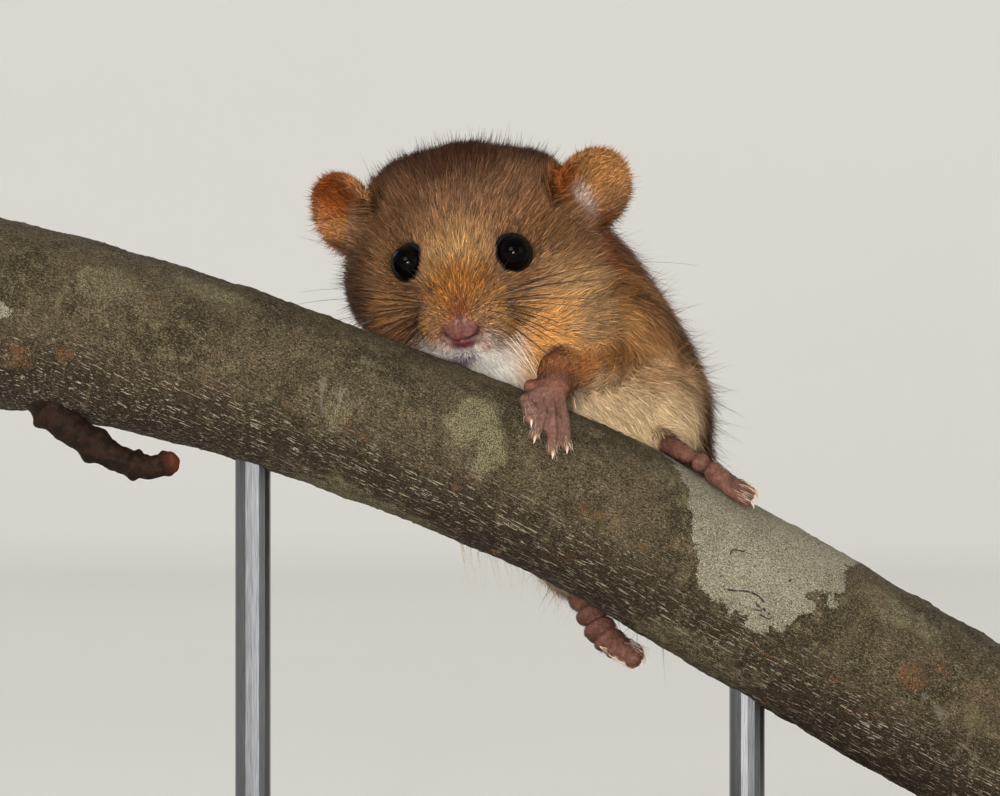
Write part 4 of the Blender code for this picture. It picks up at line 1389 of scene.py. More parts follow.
def paint_skin(flesh, skin):
    """The skin's colours: the coat's markings, darker, and bare pads, nose and rims, with painted
    shade in the nostril slits.
    """
    at = points_of(skin.data) / MM
    shares = in_runs(flesh.shares, at)
    bare = part_share(flesh, shares, *BARE)
    colour = markings(flesh, at, shares)
    colour = colour * np.maximum(0.45 + 0.4 * paleness(colour)[:, None], bare)
    head = to_head(at)
    nose = (((0.0, 8.4, -3.6), (1.9, 1.4, 1.4), "7e4f46", 1.2),
            ((0.0, 8.0, -4.9), (1.3, 1.2, 0.6), "67353a", 1.0))
    colour = blot(colour, head, nose)
    # painted shade inside the nostril slits: near black, darker where the slits are dented deeper
    colour = blot(colour, head, [
        ((side * out, 8.3, NOSE_TIP.z - low), (wide * 0.9, 0.7, high * 0.9), "2a100f",
         0.04 + 0.62 * out)
        for side in (-1, 1) for out, low, wide, high in NOSTRILS])
    wet = blot(np.zeros((len(at), 3)), head, [(*row[:2], "ffffff", 1.0) for row in nose])[:, :1]
    for side in (-1, 1):
        colour = blot(colour, at, ((ear_spot(side, -1.7, -1.8), (1.9, 1.6, 1.9), "c99f92", 1.1),))
        far = lengths(at - np.array(eye_centre(side) + eye_axis(side) * 0.2))
        rim = clamp((EYE_RADIUS + 0.36 - far) / 0.12)[:, None]
        colour = colour * (1 - rim) + np.array(rgb("0c0908")) * rim
        wet -= 2.0 * rim
    layer = skin.data.color_attributes.new("hue", "FLOAT_COLOR", "POINT")
    layer.data.foreach_set("color", with_alpha(colour).astype(np.float32).ravel())
    add_field(skin, "bare", bare)
    add_field(skin, "wet", wet)


# ---- eyes, claws, whiskers
def mesh_of(name, points, faces):
    mesh = bpy.data.meshes.new(name)
    mesh.from_pydata((np.asarray(points) * MM).tolist(), [], faces)
    mesh.validate()
    mesh.shade_smooth()
    return add_object(name, mesh)


def add_field(thing, name, values):
    layer = thing.data.attributes.new(name, "FLOAT", "POINT")
    layer.data.foreach_set("value", np.asarray(values, np.float32).ravel())


def ways_across(path):
    """Two ways across the path at each of its points, without twist."""
    run = unit(np.gradient(path, axis=0))
    across = np.empty_like(run)
    first = np.array(Vector(run[0]).orthogonal().normalized())
    for k, way in enumerate(run):
        first = first - way * (first @ way)
        first /= lengths(first)
        across[k] = first
    return across[:, None], np.cross(run, across)[:, None]


def band(low, high, sides, flip=False):
    """Faces between two rings of points, each given by its first point."""
    faces = [(low + s, low + (s + 1) % sides, high + (s + 1) % sides, high + s)
             for s in range(sides)]
    return [face[::-1] for face in faces] if flip else faces


def tube_faces(rings, sides, flip=False):
    """Faces between rings of points that follow one another."""
    return [face for low in range(0, (rings - 1) * sides, sides)
            for face in band(low, low + sides, sides, flip)]


def fan_faces(ring, sides, tip, flip=False):
    """Faces from a ring, given by its first point, to the point that closes it."""
    faces = [(ring + (s + 1) % sides, ring + s, tip) for s in range(sides)]
    return [face[::-1] for face in faces] if flip else faces


def swept(path, radii, sides, flat=1.0):
    """Points and faces of a closed tube along the path."""
    one, two = ways_across(path)
    turns = np.linspace(0, 2 * math.pi, sides, endpoint=False)[None, :, None]
    ring = np.cos(turns) * one + flat * np.sin(turns) * two
    points = (path[:, None] + ring * np.asarray(radii)[:, None, None]).reshape(-1, 3)
    end = len(points)
    faces = (tube_faces(len(path), sides) + fan_faces(0, sides, end)
             + fan_faces(end - sides, sides, end + 1, flip=True))
    return np.vstack([points, path[0], path[-1]]), faces


def joined(parts):
    points, faces, base = [], [], 0
    for some, their in parts:
        points.append(some)
        faces += [tuple(k + base for k in face) for face in their]
        base += len(some)
    return np.vstack(points), faces


def make_eye(side, material):
    """A ball turned about the way it looks, with the clear front standing out a little."""
    rings, spokes, bulge = 40, 64, 0.09
    axis = np.array(eye_axis(side))
    across = np.array(Vector(axis).orthogonal().normalized())
    angle = math.pi * np.arange(1, rings)[:, None, None] / rings
    turn = 2 * math.pi * np.arange(spokes)[None, :, None] / spokes
    out = across * np.cos(turn) + np.cross(axis, across) * np.sin(turn)
    radius = EYE_RADIUS + bulge * np.maximum(np.cos(angle), 0.0) ** 2
    ball = (radius * (axis * np.cos(angle) + out * np.sin(angle))).reshape(-1, 3)
    points = np.vstack([ball, axis * (EYE_RADIUS + bulge), -axis * EYE_RADIUS])
    front, back = len(ball), len(ball) + 1
    faces = (tube_faces(rings - 1, spokes, flip=True) + fan_faces(0, spokes, front, flip=True)
             + fan_faces(front - spokes, spokes, back))
    name = "left" if side > 0 else "right"
    eye = mesh_of("eyeball_" + name, points + np.array(eye_centre(side)), faces)
    add_field(eye, "ring", np.append(np.repeat(angle, spokes), (0.0, math.pi)))
    hand_over(eye, material, "eye", "eye_" + name)


def digit_ends():
    """Where each claw starts, the way it points and the way out of the bark there."""
    ends = []
    for rows, radii in ((LEFT_FINGERS, FINGER_RADII), (RIGHT_FINGERS, FINGER_RADII),
                        (LEFT_TOES, LEFT_TOE_RADII)):
        for knuckle, tip in rows:
            a = np.array(on_bark(*knuckle, GAP + radii[2]))
            b = np.array(on_bark(*tip, GAP + radii[3]))
            ends.append((b, towards(b - a), over_bark(b[None])[1][0], radii[3]))
    for back, inward in RIGHT_TOES:
        a, b = (np.array(right_toe_spot(row[:3], back, inward)) for row in RIGHT_PADS[-2:])
        ends.append((b, towards(b - a), np.array((0.5, -0.1, 0.8)), RIGHT_PADS[-1][3]))
    return ends


def make_claws(material):
    """A hooked claw at the end of each digit that shows one, clear of the bark."""
    length, thick, sides, parts = 0.8, 0.16, 10, []
    along = np.linspace(0.0, 1.0, 9)
    share = along[:, None]
    for tip, way, out, radius in digit_ends():
        start = tip + way * radius * 0.45 + out * radius * 0.3
        path = start + way * length * (share - 0.18 * share**2) + out * length * (
            0.28 * share - 0.78 * share**2)
        height, away = over_bark(path)
        path += away * (np.maximum(CLAWS_OFF_BARK - height, 0.0) * (height < 2))[:, None]
        parts.append(swept(path, thick * (1.0 - along**1.6) + 0.02, sides, flat=0.75))
    claws = mesh_of("claws", *joined(parts))
    add_field(claws, "along", np.tile(np.append(np.repeat(along, sides), (0, 1)), len(parts)))
    hand_over(claws, material, "bare_skin")


def strand(root, way, bend, length, count=14):
    """A thin path that leaves the root one way and bends, clear of the bark."""
    share = np.linspace(0.0, 1.0, count)[:, None]
    path = root + np.array(way) * length * share + np.array(bend) * length * share**2
    height, away = over_bark(path)
    return path + away * np.maximum(STRANDS_OFF_BARK - height, 0.0)[:, None]


def rooted(flesh, spot, pulls=6):
    """The point of the skin next to a spot."""
    return pull_tight(flesh, np.array(spot, float)[None], pulls)[0]


def plan_fringes(flesh, dice):
    """Pale hairs over the ends of the digits, and the long ones of belly, foot, chin and ears."""
    strands = []
    for tip, way, out, radius in digit_ends():
        side = np.cross(way, out)
        for _ in range(13):
            turn, back = dice.normal(0.0, 0.75), dice.uniform(-1.4, 0.3)
            from_axis = out * math.cos(turn) + side * math.sin(turn)
            root = tip + way * back + from_axis * radius * 0.9
            lean = towards(way + 0.45 * from_axis + dice.normal(0.0, 0.1, 3))
            length = dice.uniform(0.9, 1.7)
            strands.append((strand(root, lean, -0.35 * from_axis, length, 7), 0.018, 1.0))
    for _ in range(70):  # of the belly
        root = rooted(flesh, (dice.uniform(-5.5, 6.0), dice.uniform(8.5, 13.0), 33.5))
        way = towards((dice.normal(0.1, 0.15), -0.1, -1.0))
        path = root + way * dice.uniform(3.0, 6.0) * np.linspace(0, 1, 8)[:, None]
        path[:, 0] += np.linspace(0, 1, 8) ** 2 * dice.normal(0.3, 0.4)
        strands.append((path, 0.022, 1.0))
    for _ in range(44):  # along the lower edge of the right foot
        share = dice.random()
        root = rooted(flesh, (8.3 + 2.5 * share, 2.9 - 0.2 * share, 25.2 - 2.3 * share))
        way = towards((0.75, -0.15, -0.6 + dice.normal(0.0, 0.2)))
        strands.append((strand(root, way, (0.2, 0, 0.1), 1.2, 7), 0.022, 1.0))
    for _ in range(170):  # white ones that fan out below the mouth
        turn, far = dice.uniform(-1.5, 1.35), dice.random()
        root = rooted(flesh, in_head(math.sin(turn) * (1.5 + 3.2 * far) - 0.2, 6.8 - 2.6 * far,
                                     -5.9 - 2.1 * far * math.cos(turn)))
        out = unit(flesh.distance_and_slope(root[None])[1])[0]
        way = np.array(way_in_head(0.9 * math.sin(turn), -0.3, -0.8 * math.cos(turn)))
        way = towards(way - out * (way @ out) + 0.5 * out + dice.normal(0.0, 0.06, 3))
        length = dice.uniform(0.9, 1.7) + 1.1 * far
        strands.append((strand(root, way, -0.36 * out, length, 7), 0.026, 1.3))
    for side, count in ((1, 46), (-1, 16)):  # across the ear's canal
        for _ in range(count):
            share = dice.random()
            spot = ear_spot(side, -2.9 + 2.5 * share, -0.3 - 1.7 * share + dice.normal(0.0, 0.4))
            way = np.array(way_in_head(side * 0.8, 0.45, -0.55 + dice.normal(0.0, 0.2)))
            bend = way_in_head(0.0, -0.1, -0.25)
            length = dice.uniform(0.7, 1.5)
            strands.append((strand(rooted(flesh, spot, 4), way, bend, length, 7), 0.02, 1.3))
    return strands


def plan_whiskers(flesh):
    """Paths of the whiskers and other long hairs, each with its thickness and paleness."""
    dice = np.random.default_rng(SEED + 1)
    strands = plan_fringes(flesh, dice)

    def add(side, spot, way, bend, length, thick, pale=0.0):
        root = rooted(flesh, in_head(side * spot[0], spot[1], spot[2]))
        way = way_in_head(side * way[0], way[1], way[2]).normalized()
        bend = way_in_head(side * bend[0], bend[1], bend[2])
        strands.append((strand(root, way, bend, length), thick, pale))

    for side in (-1, 1):
        for row in range(5):
            for column in range(5):
                spread, back = dice.normal(0.0, 0.05, 3), column / 4
                spot = (2.0 + 0.42 * column, 7.3 - 0.62 * column, -1.9 - 0.55 * row)
                way = (1.0 + spread[0], 0.42 - 0.75 * back + spread[1],
                       0.22 - 0.26 * row + spread[2])
                bend = (-0.05, -0.34 - 0.1 * dice.random(), -0.26 - 0.2 * dice.random())
                length = (5.5 + 11.0 * back) * dice.uniform(0.85, 1.2) * (1.0 - 0.07 * row)
                add(side, spot, way, bend, length, 0.029 + 0.016 * back)
        for k in range(3):  # over the eye
            way = (0.5 + dice.normal(0.0, 0.08), -0.3, 0.85)
            add(side, (2.0 + 0.4 * k, 6.6 - 0.5 * k, -1.3), way, (0.1, -0.1, 0.0), 3.0, 0.036)
        for k in range(3):  # on the cheek
            add(side, (7.8, 2.4 - k, -4.2), (0.85, 0.35, -0.2), (0.0, -0.4, -0.2),
                dice.uniform(5.0, 8.0), 0.026, 0.3)
    for k in range(11):  # the long white ones beside the mouth
        spot = (3.0 + 0.32 * k, 5.8 - 0.35 * k, -5.6 + 0.1 * k)
        way = (0.55 + dice.normal(0.0, 0.06), 0.55, -0.5 + dice.normal(0.0, 0.06))
        add(1, spot, way, (-0.12, -0.3, -0.45), dice.uniform(4.0, 8.0), 0.03, 1.3)
    return strands


def close_tree(graph, given, shape):
    """The last steps of a tree: the given material, and the way out."""
    done = graph.node("GeometryNodeSetMaterial", {
        "Geometry": shape, "Material": given.out("Material")})
    graph.tree.links.new(done.socket, graph.tree.nodes.new("NodeGroupOutput").inputs[0])
    return graph.tree


def whisker_tree():
    """Turns lines of edges into thin tubes."""
    graph, given = new_tree("whisker_strands", {
        "Sides": ("Int", 5), "Material": ("Material", None)})
    curve = graph.node("GeometryNodeMeshToCurve", {"Mesh": given})
    circle = graph.node("GeometryNodeCurvePrimitiveCircle", {
        "Resolution": given.out("Sides"), "Radius": 1.0})
    tube = graph.node("GeometryNodeCurveToMesh", {
        "Curve": curve, "Profile Curve": circle, "Scale": named(graph, "thick"),
        "Fill Caps": True})
    smooth = graph.node("GeometryNodeSetShadeSmooth", {"Geometry": tube})
    return close_tree(graph, given, smooth)


def make_whiskers(flesh, material):
    """Every whisker and long hair, as one mesh of thin tubes."""
    points, edges, thick, pale = [], [], [], []
    for path, width, light in plan_whiskers(flesh):
        edges += [(len(points) + k, len(points) + k + 1) for k in range(len(path) - 1)]
        points += list(path * MM)
        thick += list(width * MM * np.linspace(1.0, 0.12, len(path)))
        pale += [light] * len(path)
    fields = {"thick": thick, "pale": pale}
    whiskers = grow("whiskers", np.array(points), edges, fields, whisker_tree(),
                    {"Sides": 5, "Material": material})
    hand_over(whiskers, None, "coat")


# ---- branch
BARK_STEPS, BARK_SIDES = 690, 132
LEAN = 1.12  # millimetres along the branch for each of x
HELD = ((2.0, 45.0), (15.6, 12.0), (-12.0, -78.0))  # where hands and feet rest, as (x, turn)
WARTS = (  # (x on the axis, turn, radius, height)
    (7.0, 89.0, 0.8, 0.22), (8.4, 90.0, 0.6, 0.2), (9.6, 94.0, 0.4, 0.2), (12.2, 95.0, 0.5, 0.2),
    (13.9, 85.0, 0.5, 0.2), (-10.9, 103.0, 0.6, 0.25), (-12.6, 97.0, 0.8, 0.25),
    (-14.5, 92.0, 0.5, 0.2), (-17.5, 100.0, 0.6, 0.2), (-21.0, 78.0, 0.5, 0.15),
    (-24.0, 84.0, 0.45, 0.15), (-2.6, 112.0, 0.5, 0.2), (-6.0, 108.0, 0.4, 0.2),
    (34.0, 79.0, 1.5, 0.4), (35.6, 66.0, 0.7, 0.3), (-39.8, 115.0, 1.6, 0.7),
    (-36.0, 108.0, 0.9, 0.4), (24.0, 116.0, 0.6, 0.2), (29.0, 108.0, 0.5, 0.2),
    (-30.0, 60.0, 0.5, 0.15), (2.0, 160.0, 0.8, 0.3), (-20.0, 210.0, 0.9, 0.3),
    (18.0, 250.0, 0.8, 0.3), (-5.0, 290.0, 0.7, 0.25), (30.0, 200.0, 0.9, 0.3),
)
KNOT = (39.2, 84.0, 1.6, 0.8)
SCARS = (  # (x, turn, half length, half height) of pale creases
    (36.9, 92.0, 0.7, 0.7), (-15.2, 84.0, 0.3, 2.2), (-13.9, 80.0, 0.25, 1.4),
    (35.4, 88.0, 0.4, 0.5),
)
LICHENS = (  # (x, turn, half length, half height in mm, strength)
    (-43.0, 88.0, 2.4, 0.9, 0.8), (4.0, 215.0, 9.0, 5.0, 0.9),
    (-24.0, 240.0, 7.0, 5.0, 0.7), (33.0, 260.0, 6.0, 5.0, 0.8),
)
MOSSES = (
    (-3.4, 64.0, 2.8, 3.4, 1.0), (-1.4, 80.0, 2.0, 3.0, 0.9), (-27.0, 34.0, 5.0, 1.8, 0.6),
    (-13.6, 92.0, 2.0, 2.2, 0.6), (14.0, 40.0, 6.0, 3.0, 0.5), (-34.0, 55.0, 6.0, 2.4, 0.6),
    (31.0, 40.0, 5.0, 2.4, 0.6), (-10.0, 180.0, 12.0, 6.0, 0.8), (20.0, 150.0, 9.0, 4.0, 0.6),
)
CRUST_LEFT, CRUST_SLANT, CRUST_RIGHT = 9.8, 0.075, 26.6  # of the large patch of lichen
CRUST_TURNS = (-38.0, 104.0)


class Bark:
    """The bark's even surface, and how far each of its points is from a spot on it."""

    def __init__(self):
        self.path = perch_path(BARK_STEPS)
        self.run = unit(np.gradient(self.path[:, :3], axis=0))
        up = unit(np.stack([-self.run[:, 2], 0 * self.run[:, 0], self.run[:, 0]], axis=1))
        turns = np.linspace(0.0, 360.0, BARK_SIDES, endpoint=False)
        angle = np.radians(turns)[None, :, None]
        out = up[:, None] * np.cos(angle) + np.array((0.0, -1.0, 0.0)) * np.sin(angle)
        self.at = (self.path[:, None, :3] + out * self.path[:, 3][:, None, None]).reshape(-1, 3)
        self.out = out.reshape(-1, 3)
        self.x = np.repeat(self.path[:, 0], BARK_SIDES)
        self.turn = np.tile(turns, BARK_STEPS)
        self.girth = np.repeat(self.path[:, 3], BARK_SIDES)

    def wobble(self, size, seed):
        return wobble(self.at, size, seed)

    def apart(self, x, turn):
        """Millimetres along and around from the spot at x and the turn."""
        around = np.radians((self.turn - turn + 180.0) % 360.0 - 180.0) * self.girth
        return (self.x - x) * LEAN, around

    def far(self, x, turn, long, high):
        """1 on an oval round the spot with this half length and half height."""
        along, around = self.apart(x, turn)
        return np.hypot(along / long, around / high)

    def patches(self, table, steep, edge):
        """1 on each patch of a table, fading over its ragged edge."""
        field = np.zeros(len(self.at))
        for x, turn, long, high, strength in table:
            share = clamp((1.1 - self.far(x, turn, long, high) - edge) * steep)
            field = np.maximum(field, strength * share)
        return field

    def crust(self):
        """1 on the large patch of lichen, whose four edges are ragged."""
        turned = (self.turn + 180.0) % 360.0 - 180.0
        ragged = 0.9 * self.wobble(1.5, 33) + 0.5 * self.wobble(0.5, 34)
        left = self.x - CRUST_LEFT - CRUST_SLANT * turned + 0.45 * ragged
        right = (CRUST_RIGHT - self.x) * 0.9 - 0.05 * np.maximum(turned - 50.0, 0.0) + 1.3 * ragged
        back = np.radians(turned - CRUST_TURNS[0]) * self.girth + ragged
        front = np.radians(CRUST_TURNS[1] - turned) * self.girth + 0.8 * ragged
        front -= 0.12 * (22.0 - self.x)
        inside = np.stack([left, right, back, front]).min(axis=0)
        return clamp(inside * 1.6 + 0.35)


def make_branch(material):
    """The cut length of branch, with its bark's relief, warts, knot and sawn ends."""
    bark = Bark()
    lifted, wart, scar, held = np.zeros((4, len(bark.at)))
    ragged, bumps = 0.25 * bark.wobble(0.6, 21), 1 + 0.5 * bark.wobble(0.35, 22)
    for x, turn, size, height in WARTS:
        far = bark.far(x, turn, size, size / 1.2) + ragged
        lifted += height * clamp(1.3 - far) ** 1.5 * bumps
        wart = np.maximum(wart, clamp(1.8 - far))
    x, turn, size, height = KNOT
    knot = clamp(1.35 - bark.far(x, turn, size, size) - 0.12 * bark.wobble(0.9, 23))
    lifted += height * knot * (0.6 + 0.5 * bark.wobble(0.5, 37))
    edge = 0.3 * bark.wobble(1.6, 24)
    lichen = np.maximum(bark.patches(LICHENS, 3.0, edge), bark.crust())
    moss = bark.patches(MOSSES, 1.6, edge)
    bent_by, edge = 0.25 * bark.wobble(1.1, 36), 0.3 * bark.wobble(0.7, 35)
    for x, turn, long, high in SCARS:
        along, around = bark.apart(x, turn)
        bent = along - 0.2 * around - 0.12 * around**2 + bent_by
        far = np.hypot(bent / long, around / high) + edge
        scar = np.maximum(scar, clamp(1.2 - far))
    unrolled = np.stack([bark.x * LEAN, np.radians(bark.turn) * bark.girth, 0 * bark.x], axis=1)
    # dashes lie across the branch and creases along it
    dash = clamp((wobble(unrolled * (2.6, 0.8, 1.0), 1.0, 26) - 0.6) * 3)
    crease = clamp((wobble(unrolled * (0.55, 1.9, 1.0), 1.0, 27) - 0.35) * 2.5)
    for depth, size, seed in ((0.16, 3.6, 28), (0.07, 1.1, 29), (0.06, 0.45, 30)):
        lifted += depth * bark.wobble(size, seed)
    lifted += 0.07 * dash - 0.08 * crease + 0.05 * lichen
    for x, turn in HELD:  # the bark stays smooth there
        held = np.maximum(held, clamp(1.5 - bark.far(x, turn, 4.6, 4.6)))
    lifted *= 1.0 - 0.75 * held
    fields = dict(lichen=lichen, moss=moss, wart=wart, knot=knot, dash=dash, scar=scar,
                  cut=0 * held, pith=bark.girth, low=0.5 - 0.5 * np.cos(np.radians(bark.turn)))
    points = bark.at + bark.out * lifted[:, None]
    points, faces, fields = add_sawn_ends(points, fields, bark.path, bark.run)
    branch = mesh_of("branch", points, faces)
    for name, values in fields.items():
        add_field(branch, name, values)
    hand_over(branch, material, "bark", "perch_branch")


def add_sawn_ends(points, fields, path, run, rings=26):
    """Closes both ends with rings that narrow to the pith, with saw marks across them."""
    faces = tube_faces(BARK_STEPS, BARK_SIDES)
    for end, start in ((0, 0), (-1, len(points) - BARK_SIDES)):
        middle, way = path[end, :3], run[end] * (1 if end else -1)
        rim = points[start : start + BARK_SIDES]
        for k in range(1, rings + 1):
            ring = middle + (rim - middle) * (1.0 - k / rings)
            if k == rings:
                ring = ring[:1]
            far = lengths(ring - middle)
            mark = 0.05 * np.sin(far * 9.0) + 0.05 * wobble(ring * (1, 1, 6), 1.0, 31)
            mark += 0.12 * (k == 1)
            first = len(points)
            points = np.vstack([points, ring + way * mark[:, None]])
            for name in fields:
                new = far if name == "pith" else np.full(len(ring), float(name == "cut"))
                fields[name] = np.append(fields[name], new)
            if k == rings:
                faces += fan_faces(start, BARK_SIDES, first, flip=bool(end))
            else:
                faces += band(start, first, BARK_SIDES, flip=not end)
            start = first
    return points, faces, fields


def make_twig(material):
    """The short side twig, swollen at its joints, with a blunt reddish tip."""
    steps, sides = 90, 40
    path = smooth_path(TWIG_PATH, steps)
    share = np.linspace(0.0, 1.0, steps)
    swell = sum(0.28 * np.exp(-(((share - spot) / 0.03) ** 2)) for spot in (0.2, 0.44, 0.68, 0.9))
    radii = path[:, 3] * (1.0 + swell)
    radii[-4:] *= (0.9, 0.75, 0.5, 0.25)
    points, faces = swept(path[:, :3], radii, sides)
    axis = np.vstack([np.repeat(path[:, :3], sides, axis=0), path[0, :3], path[-1, :3]])
    rough = 0.1 * wobble(points, 0.9, 41) + 0.06 * wobble(points, 0.35, 42)
    twig = mesh_of("twig", points + unit(points - axis) * rough[:, None], faces)
    add_field(twig, "along", np.append(np.repeat(share, sides), (0, 1)))
    hand_over(twig, material, "twig_bark", "perch_twig")


# ---- materials
def coat_finish():
    hair = Finish("coat_hair", Roughness=0.52, Specular_IOR_Level=0.13)
    along = hair.attribute("along")
    deep = along.rise(0.75, -0.1) * hair.attribute("foot") * -1.0 + 1.0
    shade = deep * (along.rise(0.5, 1.0) * hair.attribute("ends") + 1.0)
    shade = shade * (hair.noise(hair.place(), 1.7) * 0.3 + 0.85)
    grey = hair.node("ShaderNodeCombineColor", dict.fromkeys(range(3), shade))
    return hair.fed(Base_Color=hair.blend(1.0, hair.attribute("hue", "Color"), grey, "MULTIPLY"))


def skin_finish():
    skin = Finish("bare_skin", Specular_IOR_Level=0.24, Subsurface_Weight=0.12,
                  Subsurface_Scale=0.0008)
    at = skin.place()
    fine, pores = skin.noise(at, 3.2, 3.0), skin.noise(at, 7.0)
    creases = skin.node("ShaderNodeTexVoronoi", {"Vector": at, "Scale": 3.4},
                        feature="DISTANCE_TO_EDGE")
    folds = creases.rise(0.0, 0.12) * 0.5 + fine * 0.5
    tone = skin.blend(fine.rise(0.35, 0.7), "7d7370", "ffffff")
    return skin.fed(
        Base_Color=skin.blend(0.55, skin.attribute("hue", "Color"), tone, "MULTIPLY"),
        Roughness=(pores * 0.3 + 0.38) * (skin.attribute("wet") * -0.35 + 1.0),
        Normal=skin.bump(folds * (skin.attribute("bare") * 0.8 + 0.2), 0.06))


def eye_finish():
    """Near black, with a hint of the iris round the pupil."""
    eye = Finish("eye_dark", Roughness=0.03, Specular_IOR_Level=0.06)
    ring = eye.attribute("ring")
    iris = ring.rise(0.62, 0.72) * ring.rise(1.25, 1.1) * eye.noise(eye.place(), 4.0, 3.0)
    return eye.fed(Base_Color=eye.blend(iris, "030203", "0c0705"))


def claw_finish():
    claw = Finish("claw_horn", Roughness=0.3, Specular_IOR_Level=0.5)
    share = claw.attribute("along").rise(0.05, 0.9) * 0.8 + claw.noise(claw.place(), 5.0) * 0.2
    return claw.fed(Base_Color=claw.blend(share, "b9977e", "e3d6c2"))


def whisker_finish():
    hair = Finish("whisker_hair", Roughness=0.35, Specular_IOR_Level=0.5)
    pale = hair.attribute("pale") + hair.noise(hair.place(), 0.6, 1.0) * 0.1
    return hair.fed(Base_Color=hair.layers(
        "1d0f0a", (pale.rise(0.1, 1.0), "d8c7ae"), (pale.rise(1.1, 1.3), "f4eee4")))


def bark_finish():
    """Dark bark under streaks, moss and lichen, and pale wood where it is cut."""
    bark = Finish("branch_bark", Specular_IOR_Level=0.18)
    at = bark.place()
    along, thin = (bark.place(turn=(0.0, 28.0, 0.0), stretch=(x, 1.0, 1.0)) for x in (0.4, 0.08))
    broad, middling = bark.noise(at, 0.17, 4.0, 0.6), bark.noise(at, 0.8, 4.0, 0.7)
    patchy, fine = bark.noise(at, 1.7, 4.0, 0.7), bark.noise(at, 7.5, 3.0, 0.7)
    grit, grain = bark.noise(at, 15.0), bark.noise(along, 10.5, 3.0, 0.75)
    lines = bark.noise(thin, 8.5)
    sandy = grit * 0.5 + fine * 0.5
    under = (bark.attribute("low") + broad * 0.35).rise(0.6, 1.0)
    light = (grain * 0.55 + grit * 0.45).rise(0.53, 0.61) * (middling * 0.9 + 0.15)
    streaks = lines.rise(0.6, 0.64) * (fine * 0.5 + patchy * 0.5).rise(0.4, 0.54) * under
    wart, knot = bark.attribute("wart"), bark.attribute("knot")
    moss = (bark.attribute("moss") * 0.5 + fine * 0.4 + patchy * 0.8).rise(0.72, 1.1)
    green = bark.layers("585138", (sandy.rise(0.46, 0.58), "a09775"),
                        (fine.rise(0.44, 0.39), "16150d"))
    specks = (grain * 0.5 + fine * 0.5).rise(0.44, 0.4) * patchy.rise(0.48, 0.56)
    crust = bark.layers(
        "7d7764",
        (broad.rise(0.4, 0.6), "938d78"),
        (grain.rise(0.54, 0.42) * 0.8, "494334"),
        (sandy.rise(0.52, 0.6) * 0.8, "c9c2ad"),
        (specks * 0.9, "221d17"),
        ((patchy * 0.5 + fine * 0.5).rise(0.6, 0.66) * 0.5, "8a5a3c"))
    lichen = bark.attribute("lichen") + (patchy * 1.5 + fine + grain - 1.75) * 1.2
    scar = (bark.attribute("scar") + fine * 0.8 + grain * 0.4).rise(0.8, 1.4)
    years = bark.attribute("pith") * 6.5 + middling * 5.0
    wood = bark.layers("b08a5c", (years.math("SINE", years) * 0.5 + 0.5, "d3b384"),
                       (fine.rise(0.5, 0.8) * 0.5, "8f6b42"))
    colour = bark.layers(
        "39301f",
        (broad.rise(0.38, 0.6), "544935"),
        (middling.rise(0.48, 0.66) * 0.85, "675c45"),
        (under * 0.88, "2e2219"),
        ((broad * 0.5 + middling * 0.5).rise(0.55, 0.64) * 0.5, "533424"),
        (grain.rise(0.52, 0.38) * 0.85, "17110b"),
        (light * (under * -0.55 + 1.0), "a39576"),
        (streaks * 0.85, "c2b59c"),
        (bark.attribute("dash") * 0.3, "756849"),
        ((wart * 0.4 + patchy * 0.6 + fine * 0.4).rise(0.86, 0.94) * 0.65, "5f3a2b"),
        ((wart * 0.4 + fine).rise(0.93, 1.0) * 0.6, "96743f"),
        (moss * 0.8, green),
        (lichen.rise(0.35, 0.6) * 0.9, crust),
        (scar * 0.4, "857d70"),
        ((knot * 0.7 + patchy * 1.4 + fine * 0.8).rise(1.5, 2.0) * 0.5, "77714c"),
        (bark.attribute("cut").rise(0.4, 0.9), wood))
    relief = middling * 0.3 + fine * 0.2 + grain * 0.35 + lines * 0.25
    return bark.fed(Base_Color=colour, Roughness=fine * 0.3 + 0.6, Normal=bark.bump(relief, 0.45))


def mark_finish():
    mark = Finish("bark_mark", Roughness=0.7)
    return mark.fed(Base_Color=mark.blend(mark.noise(mark.place(), 4.0), "0d0a08", "2a211a"))


def twig_finish():
    twig = Finish("twig_bark_skin", Specular_IOR_Level=0.15)
    at = twig.place()
    middling, fine = twig.noise(at, 1.1, 3.0, 0.6), twig.noise(at, 5.0, 3.0, 0.7)
    colour = twig.layers(
        "150c07",
        (middling.rise(0.35, 0.65), "2b1a10"),
        (twig.attribute("along").rise(0.86, 1.0) * 0.7, "6d3424"),
        (fine.rise(0.62, 0.75) * 0.4, "8a7357"))
    return twig.fed(Base_Color=colour, Roughness=fine * 0.3 + 0.55,
                    Normal=twig.bump(middling * 0.5 + fine * 0.5, 0.2))


def base_finish():
    """Dark waxed wood with its grain along X."""
    wood = Finish("stand_wood", Specular_IOR_Level=0.45, Coat_Weight=0.15, Coat_Roughness=0.25)
    at = wood.place(stretch=(0.06, 1.0, 1.0))
    broad, fine = wood.noise(at, 0.35, 4.0, 0.6), wood.noise(at, 2.6, 3.0, 0.6)
    pores = wood.noise(wood.place(stretch=(0.12, 1.6, 1.6)), 3.0, 1.0)
    colour = wood.layers(
        "3a2417",
        (broad.rise(0.35, 0.65), "6a452c"),
        (fine.rise(0.4, 0.7) * 0.5, "26160e"),
        (pores.rise(0.62, 0.72) * 0.6, "1c100a"))
    return wood.fed(Base_Color=colour, Roughness=fine * 0.25 + 0.3,
                    Normal=wood.bump(pores.rise(0.7, 0.55), 0.05))


